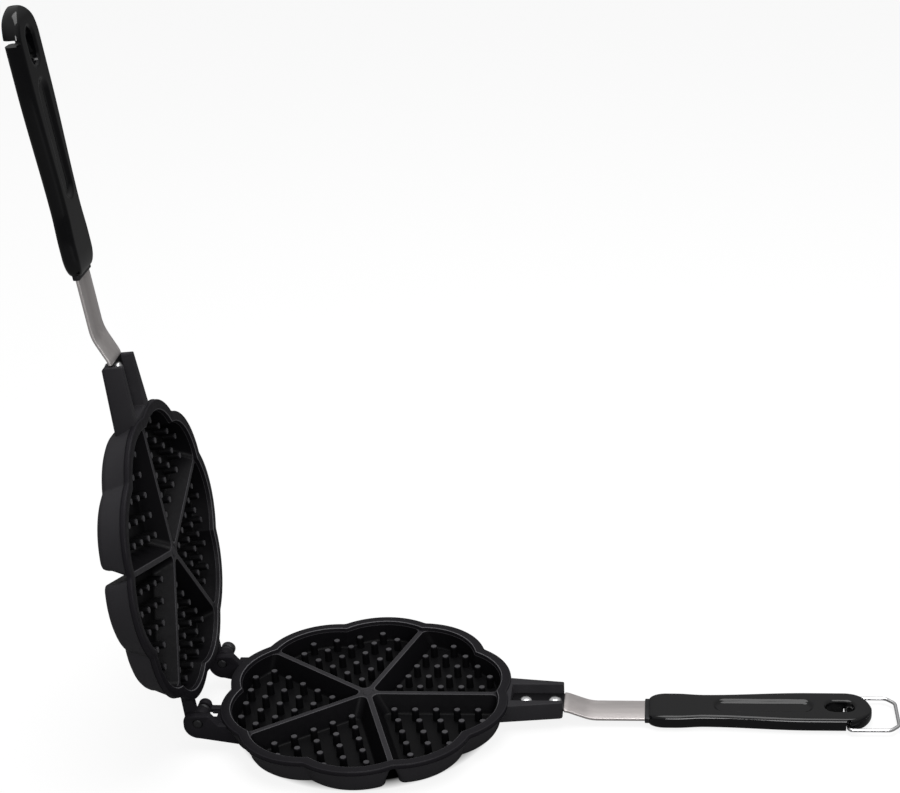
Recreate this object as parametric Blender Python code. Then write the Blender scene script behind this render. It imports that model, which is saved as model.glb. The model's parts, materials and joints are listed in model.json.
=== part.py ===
"""Stovetop waffle iron with five heart cups per half, standing open on its lower half.

Both halves are castings hinged at the left by two pinned knuckles. Each carries a
riveted steel strip with a moulded grip. A wire ring in the lower grip's notch swings
up and hooks over the upper grip when the iron is closed.

Each half is drawn in its own frame: the rim plane is z = 0, the cups open towards +Z
and the handle points along +X. The lower half keeps that frame. The upper half is
turned over about X, so its handle still points along +X, and then opened about the
hinge axis. All sizes are in metres.
"""

import math

import bmesh
import bpy
from mathutils import Euler, Matrix, Vector

# Rim and lobes. Every outline is made of ten equal lobes, two to a heart.
HEARTS = 5
LOBE_RADIUS = 0.0440
LOBE_REACH = 0.0452
LOBE_SPREAD = math.radians(20.0)
RIM_WIDTH = 0.0064
RIM_THICKNESS = 0.0028
RIM_EDGE = 0.0008
RIM_DRAFT = 0.0004
VALLEY_FILLET = 0.0050

# Heart cups, seen from inside and from outside.
PLATE_HEIGHT = 0.0192
CUP_DEPTH = 0.0134
DIVIDER_TOP = 0.0048
DIVIDER_DROP = 0.0022
CELL_LEDGE = 0.0003
DIVIDER_DRAFT = math.radians(23.0)
WALL_DRAFT = math.radians(6.0)
SKIRT_INSET = 0.0010
SKIRT_TAPER = 0.0040
BASE_ROUND = 0.0066
GROOVE_TOP = 0.0020
GROOVE_DRAFT = math.radians(9.0)
GROOVE_ROUND = 0.0018
WALL_BITE_SHARE = 0.35
TIP_FILLET = 0.0022
CORNER_FILLET = 0.0040
CLEFT_FILLET = 0.0024

# Peg lattice, parallel to the two dividers of each heart.
PEG_PITCH = 0.0128
PEG_FIRST_ROW = 0.0130
PEG_LAST_INDEX = 4
PEG_LAST_SUM = 5
PEG_TOP_DEPTH = 0.0058
PEG_TOP_RADIUS = 0.0019
PEG_FOOT_RADIUS = 0.0026
PEG_SIDES = 6

# Handle tang, its channel and the strip riveted into it.
TANG_LENGTH = 0.0313
TANG_ROOT_HALF = 0.0172
TANG_END_HALF = 0.0123
TANG_HEIGHT = 0.0136
TANG_STEP = 0.0011
TANG_CHAMFER = 0.0016
CHANNEL_LENGTH = 0.0317
CHANNEL_HALF = 0.0092
CHANNEL_DEPTH = 0.0096
SEAT_GAP = 0.0003
STRIP_THICKNESS = 0.0018
STRIP_WIDTH = 0.0206
STRIP_BEND_START = 0.0022
STRIP_BEND_RUN = 0.0150
STRIP_BEND_DROP = 0.0058
STRIP_POCKET = 0.0400
RIVET_INSET = 0.0086
RIVET_PITCH = 0.0178
RIVET_HEAD_RADIUS = 0.0041
RIVET_HEAD_HEIGHT = 0.0024
RIVET_SHANK_RADIUS = 0.0023
RIVET_TAIL_RADIUS = 0.0036
RIVET_TAIL_HEIGHT = 0.0010

# Grip, the same moulding on both halves.
STRIP_REACH = 0.0527
GRIP_LENGTH = 0.1371
GRIP_OUTER = 0.0190
GRIP_THICKNESS = 0.0096
GRIP_NOSE_HALF = 0.0104
GRIP_BULB_HALF = 0.0146
GRIP_WAIST_HALF = 0.0133
GRIP_END_HALF = 0.0164
GRIP_BULB_SHARE = 0.12
GRIP_WAIST_SHARE = 0.25
GRIP_FULL_SHARE = 0.72
GRIP_NOSE_ROUND = 0.0086
GRIP_NOSE_DROP = 0.0014
GRIP_INNER_ROUND = 0.0028
GRIP_OUTER_ROUND = 0.0050
POCKET_GAP = 0.0003
COLLAR_LENGTH = 0.0014
COLLAR_WALL = 0.0013
DISH_LEAD = 0.0390
DISH_TAIL = 0.0351
DISH_HALF = 0.0074
DISH_DEPTH = 0.0018
DISH_SLOPE = 0.0030
HOLE_SETBACK = 0.0195
HOLE_LENGTH = 0.0180
HOLE_WIDTH = 0.0112
SCREW_REACH = 0.0190
SCREW_HEAD_RADIUS = 0.0036
SCREW_HEAD_HEIGHT = 0.0020
SCREW_SHANK_RADIUS = 0.0018
SCREW_BURY = 0.0016
SCREW_TIP_COVER = 0.0022
SCREW_SLOT_WIDTH = 0.0009
SCREW_SLOT_DEPTH = 0.0008

# Lock ring and the notches that it sits in.
WIRE_RADIUS = 0.0011
NOTCH_SETBACK = 0.0151
NOTCH_DEPTH = 0.0036
NOTCH_MOUTH = 0.0022
NOTCH_GAP = 0.0004
RING_SIDE_GAP = 0.0005
RING_CHAMFER = 0.0055
RING_HEEL = 0.0014

# Hinge: pin axis in the parting plane, left of the hub.
PARTING_GAP = 0.0003
OPEN_ANGLE = math.radians(95.2)
HINGE_SETBACK = 0.0063
HINGE_GAP = 0.0004
LUG_NEAR = -0.0381
LUG_FAR = 0.0304
LUG_THICKNESS = 0.0050
ARM_THICKNESS = 0.0060
KNUCKLE_RADIUS = 0.0086
LUG_TOP = 0.0050
LUG_FOOT = 0.0144
ARM_FOOT = 0.0078
LUG_CHIN = 0.0104
LUG_STEP = 0.0014
PIN_RADIUS = 0.0026
PIN_PROUD = 0.0003
WASHER_RADIUS = 0.0038
WASHER_THICKNESS = 0.0026
NUT_RADIUS = 0.0045
NUT_THICKNESS = 0.0032
STOP_TOP = 0.0020

# How finely the round forms are cut.
LOBE_STEPS = 5
FILLET_STEPS = 2
KNUCKLE_STEPS = 8
ROUND_SIDES = 12
WIRE_SIDES = 8
WIRE_BEND_STEPS = 3
GRIP_NOSE_STEPS = 3
GRIP_MID_STEPS = 5
GRIP_END_STEPS = 6
GRIP_CORNER_STEPS = 3
ROUND_LIMIT_SHARE = 0.9
DISH_STEPS = 6
CUT_OVERRUN = 0.0010

# Sizes that follow from the ones above.
SECTOR = math.tau / HEARTS
HALF_SECTOR = SECTOR / 2
LOBE_ANGLE = HALF_SECTOR - LOBE_SPREAD
LOBE_ALONG = LOBE_REACH * math.cos(LOBE_ANGLE)
LOBE_ACROSS = LOBE_REACH * math.sin(LOBE_ANGLE)
CELL_ARC = LOBE_RADIUS - RIM_WIDTH
SKIRT_ARC = LOBE_RADIUS - SKIRT_INSET - SKIRT_TAPER
WALL_ARC = CELL_ARC + (SKIRT_ARC - CELL_ARC) * WALL_BITE_SHARE
RIM_REACH = LOBE_REACH + LOBE_RADIUS
TANG_END = RIM_REACH + TANG_LENGTH
CHANNEL_START = TANG_END - CHANNEL_LENGTH
RIVET_PLACES = (CHANNEL_START + RIVET_INSET, CHANNEL_START + RIVET_INSET + RIVET_PITCH)
STRIP_TOP = CHANNEL_DEPTH - SEAT_GAP - STRIP_THICKNESS
STRIP_LEVEL = STRIP_TOP + STRIP_BEND_DROP
GRIP_INNER = GRIP_OUTER - GRIP_THICKNESS
GRIP_START = TANG_END + STRIP_REACH
GRIP_END = GRIP_START + GRIP_LENGTH
HOLE_CENTRE = GRIP_END - HOLE_SETBACK
NOTCH_REACH = GRIP_END - NOTCH_SETBACK
NOTCH_LEVEL = GRIP_OUTER - NOTCH_DEPTH
NOTCH_RADIUS = WIRE_RADIUS + NOTCH_GAP
RING_LENGTH = 2 * NOTCH_LEVEL + PARTING_GAP
RING_HALF = GRIP_END_HALF + RING_SIDE_GAP + WIRE_RADIUS
RING_BEND = 2 * WIRE_RADIUS
FLARE_PLACE = RING_HALF - RING_CHAMFER - RING_BEND / 2
PIN_HOLE_RADIUS = PIN_RADIUS + HINGE_GAP
HINGE_REACH = RIM_REACH + HINGE_SETBACK
HINGE_PIVOT = Vector((-HINGE_REACH, 0.0, PARTING_GAP / 2))
Z_TO_Y = Matrix(((1, 0, 0, 0), (0, 0, 1, 0), (0, 1, 0, 0), (0, 0, 0, 1)))


def clear_scene():
    """Remove the objects that the scene starts with."""
    for thing in list(bpy.data.objects):
        bpy.data.objects.remove(thing, do_unlink=True)


def make_material(name, colour, roughness, metallic):
    """Return a Principled material."""
    material = bpy.data.materials.new(name)
    material.use_nodes = True
    shader = material.node_tree.nodes["Principled BSDF"]
    shader.inputs["Base Color"].default_value = (*colour, 1.0)
    shader.inputs["Roughness"].default_value = roughness
    shader.inputs["Metallic"].default_value = metallic
    return material


def add_object(name, mesh_source, material=None):
    """Turn a bmesh into an object with outward faces."""
    bmesh.ops.recalc_face_normals(mesh_source, faces=mesh_source.faces)
    mesh = bpy.data.meshes.new(name)
    mesh_source.to_mesh(mesh)
    mesh_source.free()
    thing = bpy.data.objects.new(name, mesh)
    bpy.context.scene.collection.objects.link(thing)
    if material:
        mesh.materials.append(material)
    return thing


def shade_round(thing, sharp_angle=math.radians(35.0)):
    """Shade the curved sides of a piece smooth and keep its edges crisp."""
    thing.data.shade_smooth()
    thing.data.set_sharp_from_angle(angle=sharp_angle)


def combine(thing, guides, label, operation="DIFFERENCE"):
    """Apply all the guides to a piece in one exact boolean and hide them."""
    group = bpy.data.collections.new(f"{thing.name}_{label}")
    bpy.context.scene.collection.children.link(group)
    for guide in guides:
        group.objects.link(guide)
        bpy.context.scene.collection.objects.unlink(guide)
        guide.hide_render = True
        guide.display_type = "WIRE"
    modifier = thing.modifiers.new(label, "BOOLEAN")
    modifier.operation = operation
    modifier.solver = "EXACT"
    modifier.operand_type = "COLLECTION"
    modifier.collection = group


def arc(centre, radius, start, end, steps):
    """Return points along a circular arc, both ends included."""
    points = []
    for step in range(steps + 1):
        angle = start + (end - start) * step / steps
        points.append((centre[0] + radius * math.cos(angle), centre[1] + radius * math.sin(angle)))
    return points


def mirror_about(points, axis_angle):
    """Return the points mirrored about a line through the hub, in reverse order."""
    twice = 2 * axis_angle
    cosine, sine = math.cos(twice), math.sin(twice)
    return [(x * cosine + y * sine, x * sine - y * cosine) for x, y in reversed(points)]


def turn(points, angle):
    """Return the points turned about the hub."""
    cosine, sine = math.cos(angle), math.sin(angle)
    return [(x * cosine - y * sine, x * sine + y * cosine) for x, y in points]


def drop_doubles(points, tolerance=1e-7):
    """Return a closed outline without repeated neighbouring points."""
    kept = []
    for point in points:
        if not kept or math.dist(point, kept[-1]) > tolerance:
            kept.append(point)
    if math.dist(kept[0], kept[-1]) <= tolerance:
        kept.pop()
    return kept


def heart_outline(lobe_arc, rib_offset, tip_fillet, corner_fillet, cleft_fillet):
    """Return one heart between the dividers at 0 and SECTOR, as a closed outline.

    lobe_arc is the radius of the lobes, and rib_offset the distance of the straight
    sides from the dividers' centre lines.
    """
    lobe = (LOBE_ALONG, LOBE_ACROSS)
    tip_reach = (rib_offset + tip_fillet) / math.sin(HALF_SECTOR)
    tip = (tip_reach * math.cos(HALF_SECTOR), tip_reach * math.sin(HALF_SECTOR))
    corner_across = rib_offset + corner_fillet
    corner_along = LOBE_ALONG + math.sqrt(
        (lobe_arc - corner_fillet) ** 2 - (corner_across - LOBE_ACROSS) ** 2)
    corner = (corner_along, corner_across)
    corner_end = math.atan2(corner[1] - lobe[1], corner[0] - lobe[0])
    cleft_reach = LOBE_REACH * math.cos(LOBE_SPREAD) + math.sqrt(
        (lobe_arc + cleft_fillet) ** 2 - (LOBE_REACH * math.sin(LOBE_SPREAD)) ** 2)
    cleft = (cleft_reach * math.cos(HALF_SECTOR), cleft_reach * math.sin(HALF_SECTOR))
    cleft_start = math.atan2(cleft[1] - lobe[1], cleft[0] - lobe[0])
    towards_hub = HALF_SECTOR + math.pi
    down = 1.5 * math.pi
    half = arc(tip, tip_fillet, towards_hub, down, FILLET_STEPS)
    half += arc(corner, corner_fillet, down - math.tau, corner_end, FILLET_STEPS)
    half += arc(lobe, lobe_arc, corner_end, cleft_start, LOBE_STEPS)
    half += arc(cleft, cleft_fillet, cleft_start + math.pi, towards_hub, FILLET_STEPS)
    return drop_doubles(half + mirror_about(half, HALF_SECTOR))


def flower_outline(lobe_arc, valley_fillet):
    """Return the rim's outline: ten lobes with filleted valleys."""
    lobe = (LOBE_ALONG, LOBE_ACROSS)
    divider_reach = LOBE_ALONG + math.sqrt((lobe_arc + valley_fillet) ** 2 - LOBE_ACROSS ** 2)
    divider = (divider_reach, 0.0)
    divider_end = math.atan2(-LOBE_ACROSS, divider_reach - LOBE_ALONG)
    cleft_reach = LOBE_REACH * math.cos(LOBE_SPREAD) + math.sqrt(
        (lobe_arc + valley_fillet) ** 2 - (LOBE_REACH * math.sin(LOBE_SPREAD)) ** 2)
    cleft = (cleft_reach * math.cos(HALF_SECTOR), cleft_reach * math.sin(HALF_SECTOR))
    cleft_start = math.atan2(cleft[1] - lobe[1], cleft[0] - lobe[0])
    half = arc(divider, valley_fillet, math.pi, divider_end + math.pi, FILLET_STEPS)
    half += arc(lobe, lobe_arc, divider_end, cleft_start, LOBE_STEPS + 1)
    half += arc(cleft, valley_fillet, cleft_start + math.pi, HALF_SECTOR + math.pi, FILLET_STEPS)
    sector = half + mirror_about(half, HALF_SECTOR)
    outline = []
    for index in range(HEARTS):
        outline += turn(sector, index * SECTOR)
    return drop_doubles(outline)


def circle_outline(radius, sides, centre=(0.0, 0.0), phase=0.0):
    """Return a regular outline."""
    return [
        (centre[0] + radius * math.cos(phase + math.tau * side / sides),
         centre[1] + radius * math.sin(phase + math.tau * side / sides))
        for side in range(sides)
    ]


def add_ring(mesh, outline, height):
    """Add an outline as a closed ring of vertices and edges."""
    verts = [mesh.verts.new((x, y, height)) for x, y in outline]
    edges = [mesh.edges.new((verts[i], verts[(i + 1) % len(verts)])) for i in range(len(verts))]
    return verts, edges


def bridge(mesh, first, second):
    """Join two rings with the same number of points."""
    verts_a, verts_b = first[0], second[0]
    count = len(verts_a)
    for index in range(count):
        after = (index + 1) % count
        mesh.faces.new((verts_a[index], verts_a[after], verts_b[after], verts_b[index]))


def loft(mesh, outlines, heights):
    """Join a stack of outlines and return the first and last ring."""
    rings = [add_ring(mesh, outline, height) for outline, height in zip(outlines, heights)]
    for lower, upper in zip(rings, rings[1:]):
        bridge(mesh, lower, upper)
    return rings[0], rings[-1]


def fill_between(mesh, rings):
    """Fill the flat area that the rings bound, leaving the inner rings open."""
    edges = [edge for ring in rings for edge in ring[1]]
    bmesh.ops.triangle_fill(mesh, use_beauty=True, use_dissolve=False, edges=edges,
                            normal=(0.0, 0.0, 1.0))


def prism(name, outline, low, high):
    """Return an outline extruded between two levels."""
    mesh = bmesh.new()
    first, last = loft(mesh, [outline, outline], [low, high])
    mesh.faces.new(first[0])
    mesh.faces.new(last[0])
    return add_object(name, mesh)


def turned(name, radii, heights, sides, material=None, axis="Z"):
    """Return a turned piece from its radii and their heights."""
    mesh = bmesh.new()
    outlines = [circle_outline(radius, sides) for radius in radii]
    first, last = loft(mesh, outlines, heights)
    mesh.faces.new(first[0])
    mesh.faces.new(last[0])
    if axis == "Y":
        mesh.transform(Z_TO_Y)
    return add_object(name, mesh, material)


def peg_places():
    """Return the peg centres of the heart between the dividers at 0 and SECTOR."""
    start = PEG_FIRST_ROW / math.sin(SECTOR)
    places = []
    for row in range(PEG_LAST_INDEX + 1):
        for column in range(min(PEG_LAST_INDEX, PEG_LAST_SUM - row) + 1):
            along = start + row * PEG_PITCH
            across = start + column * PEG_PITCH
            places.append((along + across * math.cos(SECTOR), across * math.sin(SECTOR)))
    return places


def add_cell(mesh, index):
    """Add one heart cell with its pegs and return its ring level with the dividers."""
    angle = index * SECTOR
    half_top = DIVIDER_TOP / 2
    depth = CUP_DEPTH - DIVIDER_DROP
    cell_arc = CELL_ARC - CELL_LEDGE
    levels = (
        (cell_arc, half_top, -DIVIDER_DROP),
        (cell_arc - depth * math.tan(WALL_DRAFT), half_top + depth * math.tan(DIVIDER_DRAFT),
         -CUP_DEPTH),
    )
    outlines = [
        turn(heart_outline(lobe_arc, rib, TIP_FILLET, CORNER_FILLET, CLEFT_FILLET), angle)
        for lobe_arc, rib, _ in levels
    ]
    top, floor = loft(mesh, outlines, [level[2] for level in levels])
    floor_rings = [floor]
    for place in turn(peg_places(), angle):
        foot = circle_outline(PEG_FOOT_RADIUS, PEG_SIDES, place, angle)
        head = circle_outline(PEG_TOP_RADIUS, PEG_SIDES, place, angle)
        foot_ring, head_ring = loft(mesh, [foot, head], [-CUP_DEPTH, -PEG_TOP_DEPTH])
        mesh.faces.new(head_ring[0])
        floor_rings.append(foot_ring)
    fill_between(mesh, floor_rings)
    return top


def add_cup_skirt(mesh, index):
    """Add the outside of one heart cup and return its ring under the rim."""
    angle = index * SECTOR
    arc_top = LOBE_RADIUS - SKIRT_INSET
    arc_floor = SKIRT_ARC
    rib_top = GROOVE_TOP / 2
    rib_floor = rib_top + (PLATE_HEIGHT - RIM_THICKNESS) * math.tan(GROOVE_DRAFT)
    mid_share = 1 - math.cos(math.pi / 4)
    rise_mid = BASE_ROUND * math.sin(math.pi / 4)
    levels = (
        (arc_top, rib_top, RIM_THICKNESS),
        (arc_floor, rib_floor, PLATE_HEIGHT - BASE_ROUND),
        (arc_floor - BASE_ROUND * mid_share, rib_floor + GROOVE_ROUND * mid_share,
         PLATE_HEIGHT - BASE_ROUND + rise_mid),
        (arc_floor - BASE_ROUND, rib_floor + GROOVE_ROUND, PLATE_HEIGHT),
    )
    outlines = [
        turn(heart_outline(lobe_arc, rib, TIP_FILLET, CORNER_FILLET, CLEFT_FILLET), angle)
        for lobe_arc, rib, _ in levels
    ]
    top, base = loft(mesh, outlines, [-level[2] for level in levels])
    mesh.faces.new(base[0])
    return top


def make_casting(name, material):
    """Return the bare cast half: rim, five heart cups and peg lattices."""
    mesh = bmesh.new()
    crest = flower_outline(LOBE_RADIUS - RIM_EDGE / 2, VALLEY_FILLET)
    side = flower_outline(LOBE_RADIUS, VALLEY_FILLET)
    rim_top, rim_bottom = loft(mesh, [crest, side, side], [0.0, -RIM_EDGE, -RIM_THICKNESS])
    brim = flower_outline(CELL_ARC + RIM_DRAFT, CLEFT_FILLET)
    brim_foot = flower_outline(CELL_ARC, CLEFT_FILLET)
    basin_top, basin_foot = loft(mesh, [brim, brim_foot], [0.0, -DIVIDER_DROP])
    cells = [add_cell(mesh, index) for index in range(HEARTS)]
    skirts = [add_cup_skirt(mesh, index) for index in range(HEARTS)]
    fill_between(mesh, [rim_top, basin_top])
    fill_between(mesh, [basin_foot] + cells)
    fill_between(mesh, [rim_bottom] + skirts)
    return add_object(name, mesh, material)


def make_tang(name):
    """Return the tang solid with its chamfered end, before the channel is cut."""
    root = LOBE_ALONG + WALL_ARC
    plan = [(root, -TANG_ROOT_HALF), (TANG_END, -TANG_END_HALF), (TANG_END, TANG_END_HALF),
            (root, TANG_ROOT_HALF)]
    foot = [(root, -TANG_ROOT_HALF + TANG_CHAMFER),
            (TANG_END - TANG_CHAMFER, -TANG_END_HALF + TANG_CHAMFER),
            (TANG_END - TANG_CHAMFER, TANG_END_HALF - TANG_CHAMFER),
            (root, TANG_ROOT_HALF - TANG_CHAMFER)]
    mesh = bmesh.new()
    low, top = loft(mesh, [foot, plan, plan],
                    [-TANG_HEIGHT, TANG_CHAMFER - TANG_HEIGHT, -TANG_STEP])
    mesh.faces.new(low[0])
    mesh.faces.new(top[0])
    return add_object(name, mesh)


def rim_edge(across, lobe_arc):
    """Return how far left of the hub the left heart's lobe reaches at a given Y."""
    lobe_x = LOBE_REACH * math.cos(LOBE_SPREAD)
    lobe_y = LOBE_REACH * math.sin(LOBE_SPREAD)
    return lobe_x + math.sqrt(lobe_arc ** 2 - (abs(across) - lobe_y) ** 2)


def knuckle_root(across):
    """Return the X where a knuckle's bar ends inside the cup wall."""
    return -rim_edge(across, WALL_ARC)


def lug_outline(across):
    """Return the side view of a plain lug: round end, flat top, bar down to the wall."""
    root = knuckle_root(across)
    top_angle = math.asin(LUG_TOP / KNUCKLE_RADIUS)
    axis = (HINGE_PIVOT.x, HINGE_PIVOT.z)
    shoulder = axis[0] + KNUCKLE_RADIUS * math.cos(top_angle)
    points = [(axis[0] - KNUCKLE_RADIUS * math.cos(top_angle), axis[1] + LUG_TOP)]
    chin = (axis[0], axis[1] + KNUCKLE_RADIUS - LUG_CHIN)
    points += arc(chin, KNUCKLE_RADIUS, math.pi, 1.5 * math.pi, KNUCKLE_STEPS)
    points += [(root, -LUG_FOOT), (root, -LUG_STEP)]
    points += [(shoulder + LUG_TOP, -LUG_STEP), (shoulder, axis[1] + LUG_TOP)]
    return points


def arm_outline(across):
    """Return the side view of an arm, whose square heel meets the stop when open.

    The bar stays below the rim plane of its own half, so it clears the other one.
    """
    root = knuckle_root(across)
    axis = (HINGE_PIVOT.x, HINGE_PIVOT.z)
    points = arc(axis, KNUCKLE_RADIUS, math.pi, 1.5 * math.pi, KNUCKLE_STEPS)
    points += [(root, -ARM_FOOT), (root, -LUG_STEP)]
    points += [(axis[0] + KNUCKLE_RADIUS, -LUG_STEP)]
    points += arc(axis, KNUCKLE_RADIUS, 0.0, math.pi / 2, KNUCKLE_STEPS)
    points += [(axis[0] - KNUCKLE_RADIUS, axis[1] + KNUCKLE_RADIUS)]
    return points


def stop_outline(across):
    """Return the side view of the stop ledge that the open arm's heel meets."""
    root = knuckle_root(across)
    face = HINGE_PIVOT.x + KNUCKLE_RADIUS + HINGE_GAP
    lean = math.tan(OPEN_ANGLE - math.pi / 2)
    return [(face + (LUG_FOOT - STOP_TOP) * lean, -LUG_FOOT), (root, -LUG_FOOT),
            (root, -STOP_TOP), (face, -STOP_TOP)]


def arm_centre(lug_centre):
    """Return the Y of the arm that lies behind a lug."""
    return lug_centre + LUG_THICKNESS / 2 + HINGE_GAP + ARM_THICKNESS / 2


def knuckle_guide(label, side_view, centre, thickness):
    """Return a side view extruded across its thickness, ending on the round cup wall."""
    mesh = bmesh.new()
    sides = (centre - thickness / 2, centre + thickness / 2)
    first, last = loft(mesh, [side_view(side) for side in sides], sides)
    mesh.faces.new(first[0])
    mesh.faces.new(last[0])
    mesh.transform(Z_TO_Y)
    return add_object(label, mesh)


def make_half(side, material, lug_places, arm_places):
    """Return one casting with its tang and knuckles, and its guides, in its own frame."""
    casting = make_casting(f"{side}_plate", material)
    added = [make_tang(f"{side}_tang_guide")]
    for centre in lug_places:
        added.append(knuckle_guide(f"{side}_lug_guide", lug_outline, centre, LUG_THICKNESS))
        added.append(knuckle_guide(f"{side}_stop_guide", stop_outline, arm_centre(centre),
                                   ARM_THICKNESS))
    for centre in arm_places:
        added.append(knuckle_guide(f"{side}_arm_guide", arm_outline, centre, ARM_THICKNESS))
    combine(casting, added, "joined", "UNION")

    removed = [prism(
        f"{side}_channel_cut",
        [(CHANNEL_START, -CHANNEL_HALF), (TANG_END + CUT_OVERRUN, -CHANNEL_HALF),
         (TANG_END + CUT_OVERRUN, CHANNEL_HALF), (CHANNEL_START, CHANNEL_HALF)],
        -CHANNEL_DEPTH, CUT_OVERRUN)]
    for place in RIVET_PLACES:
        hole = turned(f"{side}_rivet_hole", [RIVET_SHANK_RADIUS + SEAT_GAP] * 2,
                      [-TANG_HEIGHT - CUT_OVERRUN, -CHANNEL_DEPTH + CUT_OVERRUN], ROUND_SIDES)
        hole.location.x = place
        removed.append(hole)
    for centre in lug_places + arm_places:
        bore = turned(f"{side}_pin_hole", [PIN_HOLE_RADIUS] * 2, [-ARM_THICKNESS, ARM_THICKNESS],
                      ROUND_SIDES, axis="Y")
        bore.location = HINGE_PIVOT + Vector((0.0, centre, 0.0))
        removed.append(bore)
    combine(casting, removed, "cut")
    return casting, added + removed


def strip_path():
    """Return the centre line of the strip in side view, from the channel into the grip."""
    start = CHANNEL_START + SEAT_GAP * 3
    middle = -STRIP_TOP - STRIP_THICKNESS / 2
    low = middle - STRIP_BEND_DROP
    bend = TANG_END + STRIP_BEND_START
    return [
        (start, middle, CHANNEL_HALF - SEAT_GAP),
        (TANG_END + SEAT_GAP * 2, middle, CHANNEL_HALF - SEAT_GAP),
        (TANG_END + SEAT_GAP * 3, middle, STRIP_WIDTH / 2),
        (bend, middle, STRIP_WIDTH / 2),
        (bend + STRIP_BEND_RUN / 2, (middle + low) / 2 + STRIP_BEND_DROP / 20, STRIP_WIDTH / 2),
        (bend + STRIP_BEND_RUN, low, STRIP_WIDTH / 2),
        (GRIP_START + STRIP_POCKET, low, STRIP_WIDTH / 2),
    ]


def make_strip(side, material):
    """Return the bent steel strip with its rivet and screw holes."""
    mesh = bmesh.new()
    rings = []
    for x, z, half in strip_path():
        top, bottom = z + STRIP_THICKNESS / 2, z - STRIP_THICKNESS / 2
        corners = [(x, -half, bottom), (x, half, bottom), (x, half, top), (x, -half, top)]
        rings.append(([mesh.verts.new(corner) for corner in corners], None))
    for first, second in zip(rings, rings[1:]):
        bridge(mesh, first, second)
    mesh.faces.new(rings[0][0])
    mesh.faces.new(rings[-1][0])
    strip = add_object(f"{side}_handle_strip", mesh, material)
    guides = []
    places = [(place, RIVET_SHANK_RADIUS + SEAT_GAP) for place in RIVET_PLACES]
    places.append((GRIP_START + SCREW_REACH, SCREW_SHANK_RADIUS + SEAT_GAP))
    for index, (x, radius) in enumerate(places):
        hole = turned(f"{side}_strip_hole_{index}", [radius] * 2,
                      [-GRIP_OUTER, -STRIP_TOP + CUT_OVERRUN], ROUND_SIDES)
        hole.location.x = x
        guides.append(hole)
    combine(strip, guides, "cut")
    return strip, guides


def make_rivet(name, place, material):
    """Return one rivet with a domed head on the strip and a set tail under the tang."""
    head_seat = -STRIP_TOP + SEAT_GAP
    tail_seat = -TANG_HEIGHT - SEAT_GAP
    crown_shares = (0.55, 0.9, 1.0)
    height_shares = (1.0, 0.62, 0.2)
    radii = [RIVET_TAIL_RADIUS * crown_shares[1], RIVET_TAIL_RADIUS, RIVET_TAIL_RADIUS]
    heights = [tail_seat - RIVET_TAIL_HEIGHT, tail_seat - RIVET_TAIL_HEIGHT / 2, tail_seat]
    radii += [RIVET_SHANK_RADIUS, RIVET_SHANK_RADIUS, RIVET_HEAD_RADIUS]
    heights += [tail_seat, head_seat, head_seat]
    for crown, height in zip(reversed(crown_shares), reversed(height_shares)):
        radii.append(RIVET_HEAD_RADIUS * crown)
        heights.append(head_seat + RIVET_HEAD_HEIGHT * height)
    rivet = turned(name, radii, heights, ROUND_SIDES, material)
    rivet.location.x = place
    shade_round(rivet)
    return rivet


def ease(share):
    """Return a smooth step from 0 to 1."""
    return share * share * (3 - 2 * share)


def blend(start, end, share):
    """Return the value at a share of the way between two values."""
    return start + (end - start) * ease(share)


def grip_stations():
    """Return (x, half width, inner drop) along the grip, from the collar to the end."""
    stations = []
    for step in range(GRIP_NOSE_STEPS + 1):
        angle = math.pi / 2 * step / GRIP_NOSE_STEPS
        x = GRIP_START + GRIP_NOSE_ROUND * (1 - math.cos(angle))
        swell = math.sin(angle)
        half = GRIP_NOSE_HALF + (GRIP_BULB_HALF - GRIP_NOSE_HALF) * swell
        stations.append((x, half, GRIP_NOSE_DROP * (1 - swell)))
    bulb_reach = GRIP_LENGTH * GRIP_BULB_SHARE
    waist_reach = GRIP_LENGTH * GRIP_WAIST_SHARE
    full_reach = GRIP_LENGTH * GRIP_FULL_SHARE
    stations.append((GRIP_START + bulb_reach, GRIP_BULB_HALF, 0.0))
    spans = (
        (bulb_reach, waist_reach, GRIP_BULB_HALF, GRIP_WAIST_HALF, GRIP_MID_STEPS // 2),
        (waist_reach, full_reach, GRIP_WAIST_HALF, GRIP_END_HALF, GRIP_MID_STEPS),
    )
    for start, end, wide, narrow, steps in spans:
        for step in range(1, steps + 1):
            share = step / steps
            stations.append((GRIP_START + start + (end - start) * share,
                             blend(wide, narrow, share), 0.0))
    turn_start = GRIP_END - GRIP_END_HALF
    last_share = 0.97
    for step in range(GRIP_END_STEPS + 1):
        angle = math.asin(last_share) * step / GRIP_END_STEPS
        x = turn_start + GRIP_END_HALF * math.sin(angle) / last_share
        half = GRIP_END_HALF * math.cos(angle)
        fade = max(0.0, math.sin(angle) - 0.5) * 2
        stations.append((x, half, GRIP_NOSE_DROP * fade * fade))
    return stations


def grip_section(half, drop):
    """Return one cross-section of the grip as (y, z), inner side up."""
    inner = -GRIP_INNER - drop
    outer = -GRIP_OUTER + drop
    room = min(half, (inner - outer) / 2)
    inner_round = min(GRIP_INNER_ROUND, room * ROUND_LIMIT_SHARE)
    outer_round = min(GRIP_OUTER_ROUND, room * ROUND_LIMIT_SHARE)
    quarter = math.pi / 2
    corners = (
        (half - outer_round, outer + outer_round, outer_round),
        (half - inner_round, inner - inner_round, inner_round),
        (inner_round - half, inner - inner_round, inner_round),
        (outer_round - half, outer + outer_round, outer_round),
    )
    section = []
    for index, (across, rise, radius) in enumerate(corners):
        start = (index - 1) * quarter
        section += arc((across, rise), radius, start, start + quarter, GRIP_CORNER_STEPS)
    return section


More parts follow.
